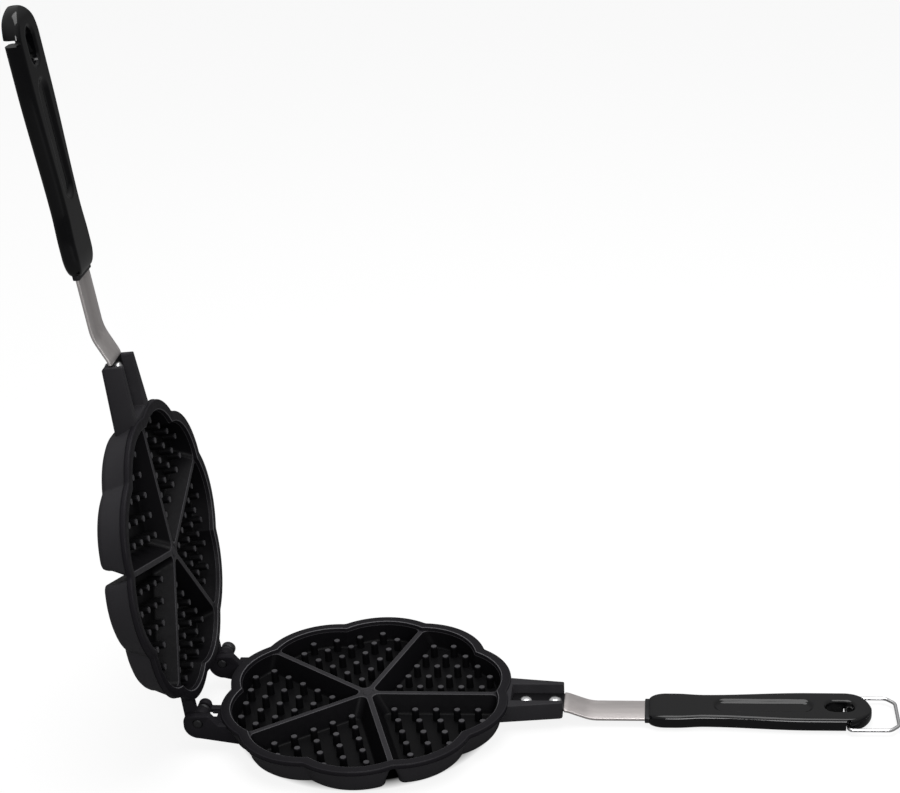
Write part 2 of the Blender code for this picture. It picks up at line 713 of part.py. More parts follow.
def stadium(centre_x, half_length, half_width, steps):
    """Return a slot outline with round ends."""
    reach = half_length - half_width
    quarter = math.pi / 2
    points = arc((centre_x + reach, 0.0), half_width, -quarter, quarter, steps)
    points += arc((centre_x - reach, 0.0), half_width, quarter, 3 * quarter, steps)
    return drop_doubles(points)


def wire_path(length, half, heel, chamfer):
    """Return the ring's centre line as (x, y), clockwise from the notch bar."""
    return [(0.0, -half + heel), (0.0, half - heel), (heel, half), (length - chamfer, half),
            (length, half - chamfer), (length, chamfer - half), (length - chamfer, -half),
            (heel, -half)]


def notch_guide(name, reach):
    """Return a slot for the wire, round inside and open towards -Z, along Y."""
    slot = arc((0.0, 0.0), NOTCH_RADIUS, 0.0, math.pi, FILLET_STEPS * 2)
    depth = NOTCH_DEPTH + CUT_OVERRUN
    slot += [(-NOTCH_MOUTH, -depth), (NOTCH_MOUTH, -depth)]
    mesh = bmesh.new()
    first, last = loft(mesh, [slot, slot], [-reach, reach])
    mesh.faces.new(first[0])
    mesh.faces.new(last[0])
    mesh.transform(Z_TO_Y)
    return add_object(name, mesh)


def make_notch_cutters(side):
    """Return the notch across the grip and the slanted cuts that clear the ring's bends."""
    notch = notch_guide(f"{side}_notch_cut", RING_HALF + CUT_OVERRUN)
    notch.location = (NOTCH_REACH, 0.0, -NOTCH_LEVEL)
    guides = [notch]
    for hand in (-1, 1):
        flare = notch_guide(f"{side}_flare_cut", RING_CHAMFER * math.sqrt(2) + CUT_OVERRUN)
        flare.location = (NOTCH_REACH, hand * FLARE_PLACE, -NOTCH_LEVEL)
        flare.rotation_euler.x = hand * math.pi / 4
        guides.append(flare)
    return guides


def make_grip(side, material):
    """Return the moulded grip with its pocket, dish, hanging hole and notch."""
    mesh = bmesh.new()
    rings = []
    for x, half, drop in grip_stations():
        section = grip_section(half, drop)
        rings.append(([mesh.verts.new((x, y, z)) for y, z in section], None))
    for first, second in zip(rings, rings[1:]):
        bridge(mesh, first, second)
    mesh.faces.new(rings[0][0])
    mesh.faces.new(rings[-1][0])
    grip = add_object(f"{side}_grip", mesh, material)
    pocket_half = STRIP_WIDTH / 2 + POCKET_GAP
    pocket_end = GRIP_START + STRIP_POCKET + POCKET_GAP
    pocket = prism(
        f"{side}_pocket_cut",
        [(GRIP_START - CUT_OVERRUN, -pocket_half), (pocket_end, -pocket_half),
         (pocket_end, pocket_half), (GRIP_START - CUT_OVERRUN, pocket_half)],
        -STRIP_LEVEL - STRIP_THICKNESS - POCKET_GAP, -STRIP_LEVEL + POCKET_GAP)
    hole = prism(
        f"{side}_hanging_hole_cut",
        stadium(HOLE_CENTRE, HOLE_LENGTH / 2, HOLE_WIDTH / 2, DISH_STEPS),
        -GRIP_OUTER - CUT_OVERRUN, -GRIP_INNER + CUT_OVERRUN)
    dish_start, dish_end = GRIP_START + DISH_LEAD, GRIP_END - DISH_TAIL
    middle = (dish_start + dish_end) / 2
    half_length = (dish_end - dish_start) / 2
    dish_mesh = bmesh.new()
    grow = DISH_SLOPE * CUT_OVERRUN / DISH_DEPTH
    low, top = loft(
        dish_mesh,
        [stadium(middle, half_length - DISH_SLOPE, DISH_HALF - DISH_SLOPE, DISH_STEPS),
         stadium(middle, half_length + grow, DISH_HALF + grow, DISH_STEPS)],
        [-GRIP_INNER - DISH_DEPTH, -GRIP_INNER + CUT_OVERRUN])
    dish_mesh.faces.new(low[0])
    dish_mesh.faces.new(top[0])
    dish = add_object(f"{side}_dish_cut", dish_mesh)
    screw_x = GRIP_START + SCREW_REACH
    bore = SCREW_SHANK_RADIUS + SEAT_GAP
    well = SCREW_HEAD_RADIUS + SEAT_GAP
    seat = -GRIP_OUTER + SCREW_BURY + SCREW_HEAD_HEIGHT
    screw_hole = turned(
        f"{side}_screw_cut", [well, well, bore, bore],
        [-GRIP_OUTER - CUT_OVERRUN, seat, seat, -GRIP_INNER - SCREW_TIP_COVER + POCKET_GAP],
        ROUND_SIDES)
    screw_hole.location.x = screw_x
    guides = [pocket, hole, dish, screw_hole] + make_notch_cutters(side)
    combine(grip, guides, "cut")
    shade_round(grip)
    return grip, guides


def make_collar(side, material):
    """Return the small collar that hugs the strip where it enters the grip."""
    inside_half = STRIP_WIDTH / 2 + POCKET_GAP
    outside_half = inside_half + COLLAR_WALL
    top = -STRIP_LEVEL + POCKET_GAP
    bottom = -STRIP_LEVEL - STRIP_THICKNESS - POCKET_GAP
    outer = [(-outside_half, bottom - COLLAR_WALL), (outside_half, bottom - COLLAR_WALL),
             (outside_half, top + COLLAR_WALL), (-outside_half, top + COLLAR_WALL)]
    inner = [(-inside_half, bottom), (inside_half, bottom), (inside_half, top),
             (-inside_half, top)]
    end = GRIP_START - SEAT_GAP
    mesh = bmesh.new()
    rings = []
    for outline, x in ((outer, end - COLLAR_LENGTH), (outer, end), (inner, end),
                       (inner, end - COLLAR_LENGTH)):
        rings.append(([mesh.verts.new((x, y, z)) for y, z in outline], None))
    for first, second in zip(rings, rings[1:] + rings[:1]):
        bridge(mesh, first, second)
    return add_object(f"{side}_grip_collar", mesh, material)


def make_grip_screw(side, material):
    """Return the slotted screw that holds the strip in its pocket."""
    head_top = -GRIP_OUTER + SCREW_BURY
    seat = head_top + SCREW_HEAD_HEIGHT - SEAT_GAP
    tip = -GRIP_INNER - SCREW_TIP_COVER
    screw = turned(
        f"{side}_grip_screw",
        [SCREW_HEAD_RADIUS, SCREW_HEAD_RADIUS, SCREW_SHANK_RADIUS, SCREW_SHANK_RADIUS],
        [head_top, seat, seat, tip], ROUND_SIDES, material)
    slot = prism(
        f"{side}_screw_slot_cut",
        [(-SCREW_HEAD_RADIUS - CUT_OVERRUN, -SCREW_SLOT_WIDTH / 2),
         (SCREW_HEAD_RADIUS + CUT_OVERRUN, -SCREW_SLOT_WIDTH / 2),
         (SCREW_HEAD_RADIUS + CUT_OVERRUN, SCREW_SLOT_WIDTH / 2),
         (-SCREW_HEAD_RADIUS - CUT_OVERRUN, SCREW_SLOT_WIDTH / 2)],
        head_top - CUT_OVERRUN, head_top + SCREW_SLOT_DEPTH)
    for piece in (screw, slot):
        piece.location.x = GRIP_START + SCREW_REACH
    combine(screw, [slot], "cut")
    shade_round(screw)
    return screw, [slot]


def make_lock_bail(material):
    """Return the closed wire ring with its notch bar on its own origin."""
    corners = wire_path(RING_LENGTH, RING_HALF, RING_HEEL, RING_CHAMFER)
    centres = []
    count = len(corners)
    for index, corner in enumerate(corners):
        before = Vector(corners[index - 1]) - Vector(corner)
        after = Vector(corners[(index + 1) % count]) - Vector(corner)
        reach = min(RING_BEND, before.length / 3, after.length / 3)
        start = Vector(corner) + before.normalized() * reach
        end = Vector(corner) + after.normalized() * reach
        for step in range(WIRE_BEND_STEPS):
            share = step / (WIRE_BEND_STEPS - 1)
            first = start.lerp(Vector(corner), share)
            second = Vector(corner).lerp(end, share)
            centres.append(first.lerp(second, share))
    mesh = bmesh.new()
    rings = []
    for index, centre in enumerate(centres):
        along = centres[(index + 1) % len(centres)] - centres[index - 1]
        along.normalize()
        across = Vector((-along.y, along.x))
        verts = []
        for side, rise in circle_outline(WIRE_RADIUS, WIRE_SIDES, phase=math.pi / WIRE_SIDES):
            spot = centre + across * side
            verts.append(mesh.verts.new((spot.x, spot.y, rise)))
        rings.append((verts, None))
    for first, second in zip(rings, rings[1:] + rings[:1]):
        bridge(mesh, first, second)
    bail = add_object("lock_bail", mesh, material)
    bail.location = (NOTCH_REACH, 0.0, -NOTCH_LEVEL)
    shade_round(bail)
    return bail


def make_hinge_hardware(lug_centre, label, pin_material, disc_material):
    """Return the pin, washer and nut of one knuckle."""
    front = lug_centre - LUG_THICKNESS / 2 - PIN_PROUD
    arm_back = arm_centre(lug_centre) + ARM_THICKNESS / 2
    washer_start = arm_back + HINGE_GAP
    nut_start = washer_start + WASHER_THICKNESS + SEAT_GAP
    nut_end = nut_start + NUT_THICKNESS
    pin_end = nut_end - SEAT_GAP * 3
    hole = PIN_RADIUS + SEAT_GAP
    pin = turned(f"hinge_pin_{label}", [PIN_RADIUS - PIN_PROUD, PIN_RADIUS, PIN_RADIUS],
                 [front, front + PIN_PROUD, pin_end], ROUND_SIDES, pin_material, "Y")
    washer = make_disc(f"hinge_washer_{label}", WASHER_RADIUS, hole, washer_start,
                       washer_start + WASHER_THICKNESS, disc_material)
    nut = make_disc(f"hinge_nut_{label}", NUT_RADIUS, hole, nut_start, nut_end, disc_material)
    for piece in (pin, washer, nut):
        piece.location = HINGE_PIVOT
        shade_round(piece)
    return [pin, washer, nut]


def make_disc(name, outer, inner, start, end, material):
    """Return a thick washer along Y with a small chamfer on its outer edges."""
    chamfer = (outer - inner) / 5
    radii = [inner, outer - chamfer, outer, outer, outer - chamfer, inner]
    levels = [start, start, start + chamfer, end - chamfer, end, end]
    mesh = bmesh.new()
    rings = [add_ring(mesh, circle_outline(radius, ROUND_SIDES), level)
             for radius, level in zip(radii, levels)]
    for first, second in zip(rings, rings[1:] + rings[:1]):
        bridge(mesh, first, second)
    mesh.transform(Z_TO_Y)
    return add_object(name, mesh, material)


def make_empty(name, parent=None):
    """Return an empty to hang pieces on."""
    empty = bpy.data.objects.new(name, None)
    bpy.context.scene.collection.objects.link(empty)
    empty.parent = parent
    return empty


def adopt(parent, children):
    """Parent pieces to an empty, keeping their local places."""
    for child in children:
        child.parent = parent


def make_handle(side, materials):
    """Return the strip, rivets, grip, collar and screw of one half."""
    strip, strip_guides = make_strip(side, materials["steel"])
    grip, grip_guides = make_grip(side, materials["phenolic"])
    screw, screw_guides = make_grip_screw(side, materials["bright"])
    pieces = [strip, grip, screw, make_collar(side, materials["dark"])]
    for place, label in zip(RIVET_PLACES, ("inner", "outer")):
        pieces.append(make_rivet(f"{side}_rivet_{label}", place, materials["bright"]))
    return pieces + strip_guides + grip_guides + screw_guides


def lowest_middle(pieces):
    """Return the middle of the pieces' bounds in plan, at their lowest level."""
    depsgraph = bpy.context.evaluated_depsgraph_get()
    corners = []
    for piece in pieces:
        evaluated = piece.evaluated_get(depsgraph)
        corners += [piece.matrix_world @ vertex.co for vertex in evaluated.data.vertices]
    lows = [min(corner[axis] for corner in corners) for axis in range(3)]
    highs = [max(corner[axis] for corner in corners) for axis in range(3)]
    return Vector(((lows[0] + highs[0]) / 2, (lows[1] + highs[1]) / 2, lows[2]))


def build():
    """Build the whole iron and stand it on its lower half."""
    clear_scene()
    materials = {
        "coat": make_material("cast_black_coat", (0.017, 0.017, 0.019), 0.48, 0.0),
        "phenolic": make_material("gloss_black_phenolic", (0.008, 0.008, 0.009), 0.16, 0.0),
        "steel": make_material("brushed_strip_steel", (0.42, 0.38, 0.37), 0.38, 1.0),
        "bright": make_material("bright_steel", (0.75, 0.75, 0.76), 0.22, 1.0),
        "dark": make_material("blackened_steel", (0.03, 0.03, 0.032), 0.42, 0.6),
    }
    root = make_empty("iron")
    lower = make_empty("lower_half", root)
    upper = make_empty("upper_half", root)
    lugs = (LUG_NEAR, LUG_FAR)
    arms = tuple(-arm_centre(lug) for lug in lugs)

    lower_plate, lower_guides = make_half("lower", materials["coat"], lugs, ())
    lower_pieces = [lower_plate] + make_handle("lower", materials)
    for lug, label in zip(lugs, ("near", "far")):
        lower_pieces += make_hinge_hardware(lug, label, materials["dark"], materials["dark"])
    bail = make_lock_bail(materials["bright"])
    adopt(lower, lower_pieces + lower_guides + [bail])

    upper_plate, upper_guides = make_half("upper", materials["coat"], (), arms)
    adopt(upper, [upper_plate] + make_handle("upper", materials) + upper_guides)
    turn_over = Euler((math.pi, 0.0, 0.0)).to_matrix().to_4x4()
    lift = Matrix.Translation(Vector((0.0, 0.0, PARTING_GAP)))
    to_pivot = Matrix.Translation(-HINGE_PIVOT)
    swing = Matrix.Rotation(-OPEN_ANGLE, 4, "Y")
    from_pivot = Matrix.Translation(HINGE_PIVOT)
    upper.matrix_local = from_pivot @ swing @ to_pivot @ lift @ turn_over

    bpy.context.view_layer.update()
    solids = [thing for thing in bpy.data.objects if thing.type == "MESH" and not thing.hide_render]
    root.location = -lowest_middle(solids)
    bpy.context.view_layer.update()


build()
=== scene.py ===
"""Looks of the stovetop heart waffle iron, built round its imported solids.

Every shown piece is a finer form of one or more solids of the frame and rides on their
body. Each half is drawn in its own frame, as a caster would draw it: the rim plane is
z = 0, the cups open towards +Z, the handle points along +X and the hub is the origin.
Place.matrix then carries the finished mesh to where the frame holds that half.
All sizes are in metres.
"""

import json
import logging
import math
from dataclasses import dataclass, field
from enum import Enum
from functools import partial
from typing import Callable, Iterable, Optional, Sequence

import bmesh
import bpy
from mathutils import Euler, Matrix, Vector


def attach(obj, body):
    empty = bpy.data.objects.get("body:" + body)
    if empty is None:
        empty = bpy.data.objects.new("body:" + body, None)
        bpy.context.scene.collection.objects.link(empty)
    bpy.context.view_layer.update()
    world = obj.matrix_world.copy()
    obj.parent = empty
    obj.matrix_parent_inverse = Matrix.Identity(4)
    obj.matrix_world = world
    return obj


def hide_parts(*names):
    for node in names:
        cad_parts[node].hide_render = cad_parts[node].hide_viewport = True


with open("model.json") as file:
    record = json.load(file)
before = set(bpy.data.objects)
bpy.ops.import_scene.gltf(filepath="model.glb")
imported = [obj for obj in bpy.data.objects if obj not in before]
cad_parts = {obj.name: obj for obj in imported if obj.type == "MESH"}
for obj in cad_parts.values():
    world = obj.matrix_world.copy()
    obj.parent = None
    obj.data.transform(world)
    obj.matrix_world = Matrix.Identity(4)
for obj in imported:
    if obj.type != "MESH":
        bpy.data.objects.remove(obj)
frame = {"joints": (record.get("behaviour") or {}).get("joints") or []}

LOG = logging.getLogger("waffle_iron")
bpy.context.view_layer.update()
Point = tuple[float, float]
Points = list[Point]
Triple = tuple[float, float, float]
Ring = list[bmesh.types.BMVert]
Socket = bpy.types.NodeSocket
Thing = bpy.types.Object
QUARTER = math.pi / 2
TAU = math.tau
# Name of the mesh attribute that carries painted light and shade: low levels paint shade, high levels
# paint light.
PAINTED_LIGHT = "painted_light"
NOISE_LOW = 0.3
NOISE_HIGH = 0.7


class Side(Enum):
    """The two halves of the iron."""

    LOWER = "lower"
    UPPER = "upper"

    @property
    def body(self) -> str:
        """Name of the half's body."""
        return f"{self.value}_half"


class Slot(Enum):
    """Material slots of the record."""

    CAST = "cast_coat"
    PHENOLIC = "phenolic"
    STRIP = "strip_steel"
    BRIGHT = "bright_steel"
    BLACK = "black_steel"


# Placing the halves


def tilt(angle: float) -> Matrix:
    """Return a turn about the X axis."""
    return Euler((angle, 0.0, 0.0)).to_matrix().to_4x4()


@dataclass(frozen=True)
class Place:
    """Where each half lies, read from the frame's lid hinge."""

    reach: float = 0.0955
    parting_gap: float = 0.0003
    joint: str = "lid_hinge"

    def hinge(self) -> dict:
        """Return the lid hinge of the frame."""
        return next(j for j in frame["joints"] if j["name"] == self.joint)

    def pivot(self) -> Vector:
        """Return the hinge axis in a half's own frame."""
        return Vector((-self.reach, 0.0, self.parting_gap / 2))

    def hub(self) -> Vector:
        """Return the middle of the lower half's rim plane in the frame."""
        return Vector(self.hinge()["pos_m"]) - self.pivot()

    def opening(self) -> float:
        """Return how far the lid stands open, in radians."""
        return math.radians(max(abs(limit) for limit in self.hinge()["range_deg"]))

    def matrix(self, side: Side) -> Matrix:
        """Return the matrix from a half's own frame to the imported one.

        Args:
            side: which half.

        Returns:
            A rigid matrix.
        """
        stand = Matrix.Translation(self.hub())
        if side is Side.LOWER:
            return stand
        lift = Matrix.Translation(Vector((0.0, 0.0, self.parting_gap)))
        swing = Matrix.Rotation(-self.opening(), 4, "Y")
        pivot = Matrix.Translation(self.pivot())
        return stand @ pivot @ swing @ pivot.inverted() @ lift @ tilt(math.pi)


PLACE = Place()


@dataclass(frozen=True)
class Handle:
    """Places along the handle, and levels below the rim plane, that its pieces share."""

    rim: float = 0.0892
    tang_length: float = 0.0313
    tang_height: float = 0.0136
    channel_length: float = 0.0317
    channel_half: float = 0.0092
    channel_depth: float = 0.0096
    seat_gap: float = 0.0003
    strip_reach: float = 0.0527
    strip_thickness: float = 0.0018
    strip_width: float = 0.0206
    bend_drop: float = 0.0058
    grip_length: float = 0.1371
    grip_outer: float = 0.0190
    grip_end_half: float = 0.0164
    screw_reach: float = 0.0190
    screw_head: float = 0.0036
    screw_bury: float = 0.0016
    notch_setback: float = 0.0151
    notch_depth: float = 0.0036
    wire: float = 0.0011
    ring_gap: float = 0.0005
    ring_chamfer: float = 0.0055

    @property
    def tang_end(self) -> float:
        """Where the tang ends."""
        return self.rim + self.tang_length

    @property
    def channel_start(self) -> float:
        """Where the tang's channel starts."""
        return self.tang_end - self.channel_length

    @property
    def strip_top(self) -> float:
        """Depth of the strip's upper face in the channel."""
        return self.channel_depth - self.seat_gap - self.strip_thickness

    @property
    def strip_level(self) -> float:
        """Depth of the strip's upper face in the grip."""
        return self.strip_top + self.bend_drop

    @property
    def grip_start(self) -> float:
        """Where the grip's nose starts."""
        return self.tang_end + self.strip_reach

    @property
    def grip_end(self) -> float:
        """Where the grip ends."""
        return self.grip_start + self.grip_length

    @property
    def notch(self) -> float:
        """Where the ring's notch lies."""
        return self.grip_end - self.notch_setback

    @property
    def notch_level(self) -> float:
        """Depth of the notch's middle."""
        return self.grip_outer - self.notch_depth

    @property
    def ring_half(self) -> float:
        """Half the width of the ring, at its wire's middle."""
        return self.grip_end_half + self.ring_gap + self.wire


HANDLE = Handle()


# Finishes


class Nodes:
    """Adds and joins the nodes of one tree."""

    def __init__(self, tree: bpy.types.NodeTree) -> None:
        """Keep the tree."""
        self.tree = tree

    def feed(self, socket: Socket, value: object) -> None:
        """Join an input to a socket, or set it to a plain value.

        Args:
            socket: the input.
            value: what feeds it.
        """
        if isinstance(value, Socket):
            self.tree.links.new(value, socket)
        else:
            socket.default_value = value

    def add(self, kind: str, inputs: Optional[dict] = None, **settings: object) -> bpy.types.Node:
        """Add a node.

        Args:
            kind: its type.
            inputs: what feeds its inputs, by their names or numbers.
            settings: its own properties.

        Returns:
            The node.
        """
        node = self.tree.nodes.new(kind)
        for key, value in settings.items():
            setattr(node, key, value)
        for key, value in (inputs or {}).items():
            self.feed(node.inputs[key], value)
        return node

    def math(self, operation: str, *values: object) -> Socket:
        """Return the result of a math node on sockets or numbers."""
        inputs = dict(enumerate(values))
        return self.add("ShaderNodeMath", inputs, operation=operation).outputs[0]


class NodeSheet(Nodes):
    """The nodes of one material, round its Principled shader."""

    def __init__(self, name: str) -> None:
        """Start a material under a name."""
        self.material = bpy.data.materials.new(name)
        self.material.use_nodes = True
        super().__init__(self.material.node_tree)
        self.shader = self.tree.nodes["Principled BSDF"]
        self.place = self.add("ShaderNodeTexCoord").outputs["Object"]

    def shade(self, **values: object) -> None:
        """Feed the shader; an underscore in an input's name stands for a space."""
        for name, value in values.items():
            self.feed(self.shader.inputs[name.replace("_", " ")], value)

    def mapping(self, scale: Triple, turn: Triple) -> Socket:
        """Return Object coordinates, turned and then stretched."""
        turned = self.add("ShaderNodeMapping", {"Vector": self.place, "Rotation": turn}).outputs[0]
        return self.add("ShaderNodeMapping", {"Vector": turned, "Scale": scale}).outputs[0]

    def noise(self, scale: float, detail: float = 3.0, vector: Optional[Socket] = None) -> Socket:
        """Return a noise with this many grains to a metre, on plain Object coordinates if none."""
        inputs = {"Scale": scale, "Detail": detail, "Vector": vector or self.place}
        return self.add("ShaderNodeTexNoise", inputs).outputs["Fac"]

    def painted_light(self) -> Socket:
        """Return the level of painted light and shade that the piece's mesh carries."""
        return self.add("ShaderNodeAttribute", attribute_name=PAINTED_LIGHT).outputs["Fac"]

    def spread(self, noise: Socket, low: float, high: float) -> Socket:
        """Return a noise spread between two levels."""
        inputs = {"Value": noise, "From Min": NOISE_LOW, "From Max": NOISE_HIGH,
                  "To Min": low, "To Max": high}
        return self.add("ShaderNodeMapRange", inputs).outputs["Result"]

    def between(self, noise: Socket, dark: Triple, pale: Triple) -> Socket:
        """Return a colour that a noise sets between two others."""
        return self.ramp(noise, ((NOISE_LOW, dark), (NOISE_HIGH, pale)))

    def ramp(self, value: Socket, stops: Sequence[tuple[float, Triple]]) -> Socket:
        """Return a colour that runs through stops.

        Args:
            value: where on the run.
            stops: pairs of a place and its colour.

        Returns:
            The colour socket.
        """
        node = self.add("ShaderNodeValToRGB", {"Fac": value})
        elements = node.color_ramp.elements
        while len(elements) < len(stops):
            elements.new(0.5)
        for element, (place, colour) in zip(elements, stops):
            element.position = place
            element.color = (*colour, 1.0)
        return node.outputs["Color"]

    def bump(self, *layers: tuple[Socket, float]) -> None:
        """Stack bumps on the shader's normal.

        Args:
            layers: pairs of a height socket and its height in metres.
        """
        normal: dict[str, Socket] = {}
        for value, height in layers:
            inputs = {"Strength": 1.0, "Distance": height, "Height": value, **normal}
            normal = {"Normal": self.add("ShaderNodeBump", inputs).outputs["Normal"]}
        self.shade(**normal)


@dataclass(frozen=True)
class CastCoat:
    """Black non-stick coat on cast aluminium: satin and fine grained, with painted shade deep in the
    cups and painted light and highlights on tops and edges.
    """

    name: str = "cast_black_coat"
    slot: Slot = Slot.CAST
    # Colours along the level of painted light and shade: deep is painted shade for the cups' depths,
    # plain the coat's own colour, the third a paler painted light, and edge a painted highlight on
    # tops and edges.
    deep: Triple = (0.0034, 0.0033, 0.0038)
    plain: Triple = (0.0125, 0.0115, 0.0142)
    painted_light: Triple = (0.0340, 0.0328, 0.0362)
    edge: Triple = (0.1300, 0.1280, 0.1360)
    smooth: float = 0.38
    rough: float = 0.50
    specular: float = 0.09
    grain: float = 1700.0
    grain_height: float = 0.000028
    cloud: float = 45.0
    cloud_height: float = 0.000168
    cloud_share: float = 0.14
    patch: float = 315.0

    def material(self) -> bpy.types.Material:
        """Return the coat as a node material."""
        sheet = NodeSheet(self.name)
        grain = sheet.noise(self.grain, 2.0)
        cloud = sheet.noise(self.cloud, 4.0)
        clouded = sheet.math("MULTIPLY_ADD", cloud, self.cloud_share, -self.cloud_share / 2)
        # The colour follows the mesh's level of painted light and shade, with a little random cloud.
        colour = sheet.ramp(sheet.math("ADD", sheet.painted_light(), clouded), (
            (0.0, self.deep), (0.5, self.plain), (0.8, self.painted_light), (1.0, self.edge)))
        sheet.shade(Specular_IOR_Level=self.specular, Base_Color=colour,
                    Roughness=sheet.spread(sheet.noise(self.patch), self.smooth, self.rough))
        sheet.bump((cloud, self.cloud_height), (grain, self.grain_height))
        return sheet.material


@dataclass(frozen=True)
class Moulding:
    """Glossy black phenolic with the faint waviness of a pressed moulding."""

    name: str = "gloss_black_phenolic"
    slot: Slot = Slot.PHENOLIC
    dark: Triple = (0.0020, 0.0020, 0.0024)
    pale: Triple = (0.0032, 0.0032, 0.0038)
    smooth: float = 0.07
    rough: float = 0.13
    specular: float = 0.40
    wave: float = 70.0
    wave_height: float = 0.00005
    patch: float = 210.0
    fleck: float = 900.0

    def material(self) -> bpy.types.Material:
        """Return the phenolic as a node material."""
        sheet = NodeSheet(self.name)
        patches = sheet.noise(self.patch, 4.0)
        sheet.shade(Specular_IOR_Level=self.specular,
                    Base_Color=sheet.between(sheet.noise(self.fleck, 4.0), self.dark, self.pale),
                    Roughness=sheet.spread(patches, self.smooth, self.rough))
        sheet.bump((sheet.noise(self.wave, 2.0), self.wave_height))
        return sheet.material


@dataclass(frozen=True)
class Steel:
    """Metal with a grain that runs along the piece, or the same all ways."""

    name: str
    slot: Slot
    dark: Triple
    pale: Triple
    smooth: float
    rough: float
    metal: float = 1.0
    grain: float = 900.0
    grain_height: float = 0.000008
    cloud: float = 75.0
    stretch: Triple = (1.0, 1.0, 1.0)
    turn: Triple = (0.0, 0.0, 0.0)
    # Painted shade: the colour where the mesh marks shade, as on a strip lying inside the tang's
    # channel.
    painted_shade: Optional[Triple] = None
    tone_share: float = 0.8
    tone_least: float = 0.3

    def material(self) -> bpy.types.Material:
        """Return the metal as a node material, with painted shade where its mesh says so."""
        sheet = NodeSheet(self.name)
        along = sheet.mapping(self.stretch, self.turn)
        grain = sheet.noise(self.grain, 4.0, along)
        cloud = sheet.noise(self.cloud, 3.0, along)
        if self.painted_shade is None:
            colour = sheet.between(cloud, self.dark, self.pale)
        else:
            # Painted shade inside the channel, the steel's own clouded colour outside it.
            tone = sheet.math("MULTIPLY_ADD", cloud, self.tone_share, self.tone_least)
            colour = sheet.ramp(sheet.math("MULTIPLY", sheet.painted_light(), tone), (
                (0.0, self.painted_shade), (0.5, self.dark), (0.9, self.pale)))
        sheet.shade(Metallic=self.metal, Base_Color=colour,
                    Roughness=sheet.spread(grain, self.smooth, self.rough))
        sheet.bump((grain, self.grain_height))
        return sheet.material


class Finishes:
    """The iron's finishes, and how a piece is given one."""

    def __init__(self) -> None:
        """Describe every finish."""
        rolled = {"smooth": 0.42, "rough": 0.56, "stretch": (0.03, 1.0, 1.0),
                  "painted_shade": (0.030, 0.029, 0.032)}
        self.coat = CastCoat()
        self.phenolic = Moulding()
        # The two strips are one steel: the lower strip is a darker copy with painted shade, the upper
        # a paler copy with painted light.
        self.strip = {
            Side.LOWER: Steel("lower_strip_steel_painted_shade", Slot.STRIP, (0.60, 0.56, 0.55),
                              (0.76, 0.72, 0.71), **rolled),
            Side.UPPER: Steel("upper_strip_steel_painted_light", Slot.STRIP, (0.74, 0.70, 0.69),
                              (0.93, 0.89, 0.88), turn=(0.0, PLACE.opening(), 0.0), **rolled),
        }
        self.bright = Steel("bright_steel", Slot.BRIGHT, (0.84, 0.84, 0.85),
                            (0.93, 0.93, 0.94), 0.14, 0.26)
        self.black = Steel("blackened_steel", Slot.BLACK, (0.022, 0.022, 0.024),
                           (0.042, 0.042, 0.045), 0.34, 0.48, metal=0.6)
        self.made: dict[str, bpy.types.Material] = {}

    def material(self, finish: object) -> bpy.types.Material:
        """Return the material of a finish, made on first use.

        Args:
            finish: one of the finishes above.

        Returns:
            Its material.
        """
        if finish.name not in self.made:
            self.made[finish.name] = finish.material()
        return self.made[finish.name]

    def dress(self, thing: Thing, finish: object, body: str, *nodes: str,
              sharp: float = 40.0) -> None:
        """Give a finished piece its material and body.

        Args:
            thing: the piece.
            finish: its finish.
            body: the body that it rides on.
            nodes: the solids that it stands for.
            sharp: edges above this angle stay crisp, in degrees.
        """
        thing.data.materials.clear()
        thing.data.materials.append(self.material(finish))
        thing.data.shade_smooth()
        thing.data.set_sharp_from_angle(angle=math.radians(sharp))
        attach(thing, body)
        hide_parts(*nodes)
        LOG.info("%s: %d faces, on %s", thing.name, len(thing.data.polygons), body)


# Outlines


def arc(centre: Sequence[float], radius: float, start: float, end: float, steps: int) -> Points:
    """Return points along a circular arc from one angle to another, both ends included."""
    angles = [start + (end - start) * step / steps for step in range(steps + 1)]
    return [(centre[0] + radius * math.cos(a), centre[1] + radius * math.sin(a)) for a in angles]


def circle(radius: float, sides: int, centre: Sequence[float] = (0.0, 0.0)) -> Points:
    """Return the points of a closed circle."""
    return arc(centre, radius, 0.0, TAU, sides)[:-1]


def box(low: Point, high: Point) -> Points:
    """Return the rectangle between two corners."""
    return [low, (high[0], low[1]), high, (low[0], high[1])]


def quarter(steps: int) -> Points:
    """Return the sine, and one less the cosine, at even steps of a quarter turn."""
    angles = [QUARTER * step / steps for step in range(steps + 1)]
    return [(math.sin(angle), 1 - math.cos(angle)) for angle in angles]


def eased(share: float) -> float:
    """Return a share that starts and ends gently."""
    return share * share * (3 - 2 * share)


def slot_distance(x: float, y: float, middle: float, reach: float) -> float:
    """Return how far a place lies from a slot's middle line, which reaches both ways from middle."""
    return math.hypot(max(0.0, abs(x - middle) - reach), y)


def bend(before: Vector, corner: Vector, after: Vector, reach: float, steps: int) -> list[Vector]:
    """Return a corner that is rounded off towards its neighbours.

    Args:
        before: the point before it.
        corner: the corner.
        after: the point after it.
        reach: how far from the corner the rounding starts.
        steps: how many chords.

    Returns:
        The points of the rounding.
    """
    start = corner + (before - corner).normalized() * reach
    end = corner + (after - corner).normalized() * reach
    shares = [step / steps for step in range(steps + 1)]
    return [start.lerp(corner, share).lerp(corner.lerp(end, share), share) for share in shares]


def turned_points(points: Points, angle: float) -> Points:
    """Return points turned about the hub."""
    c, s = math.cos(angle), math.sin(angle)
    return [(x * c - y * s, x * s + y * c) for x, y in points]


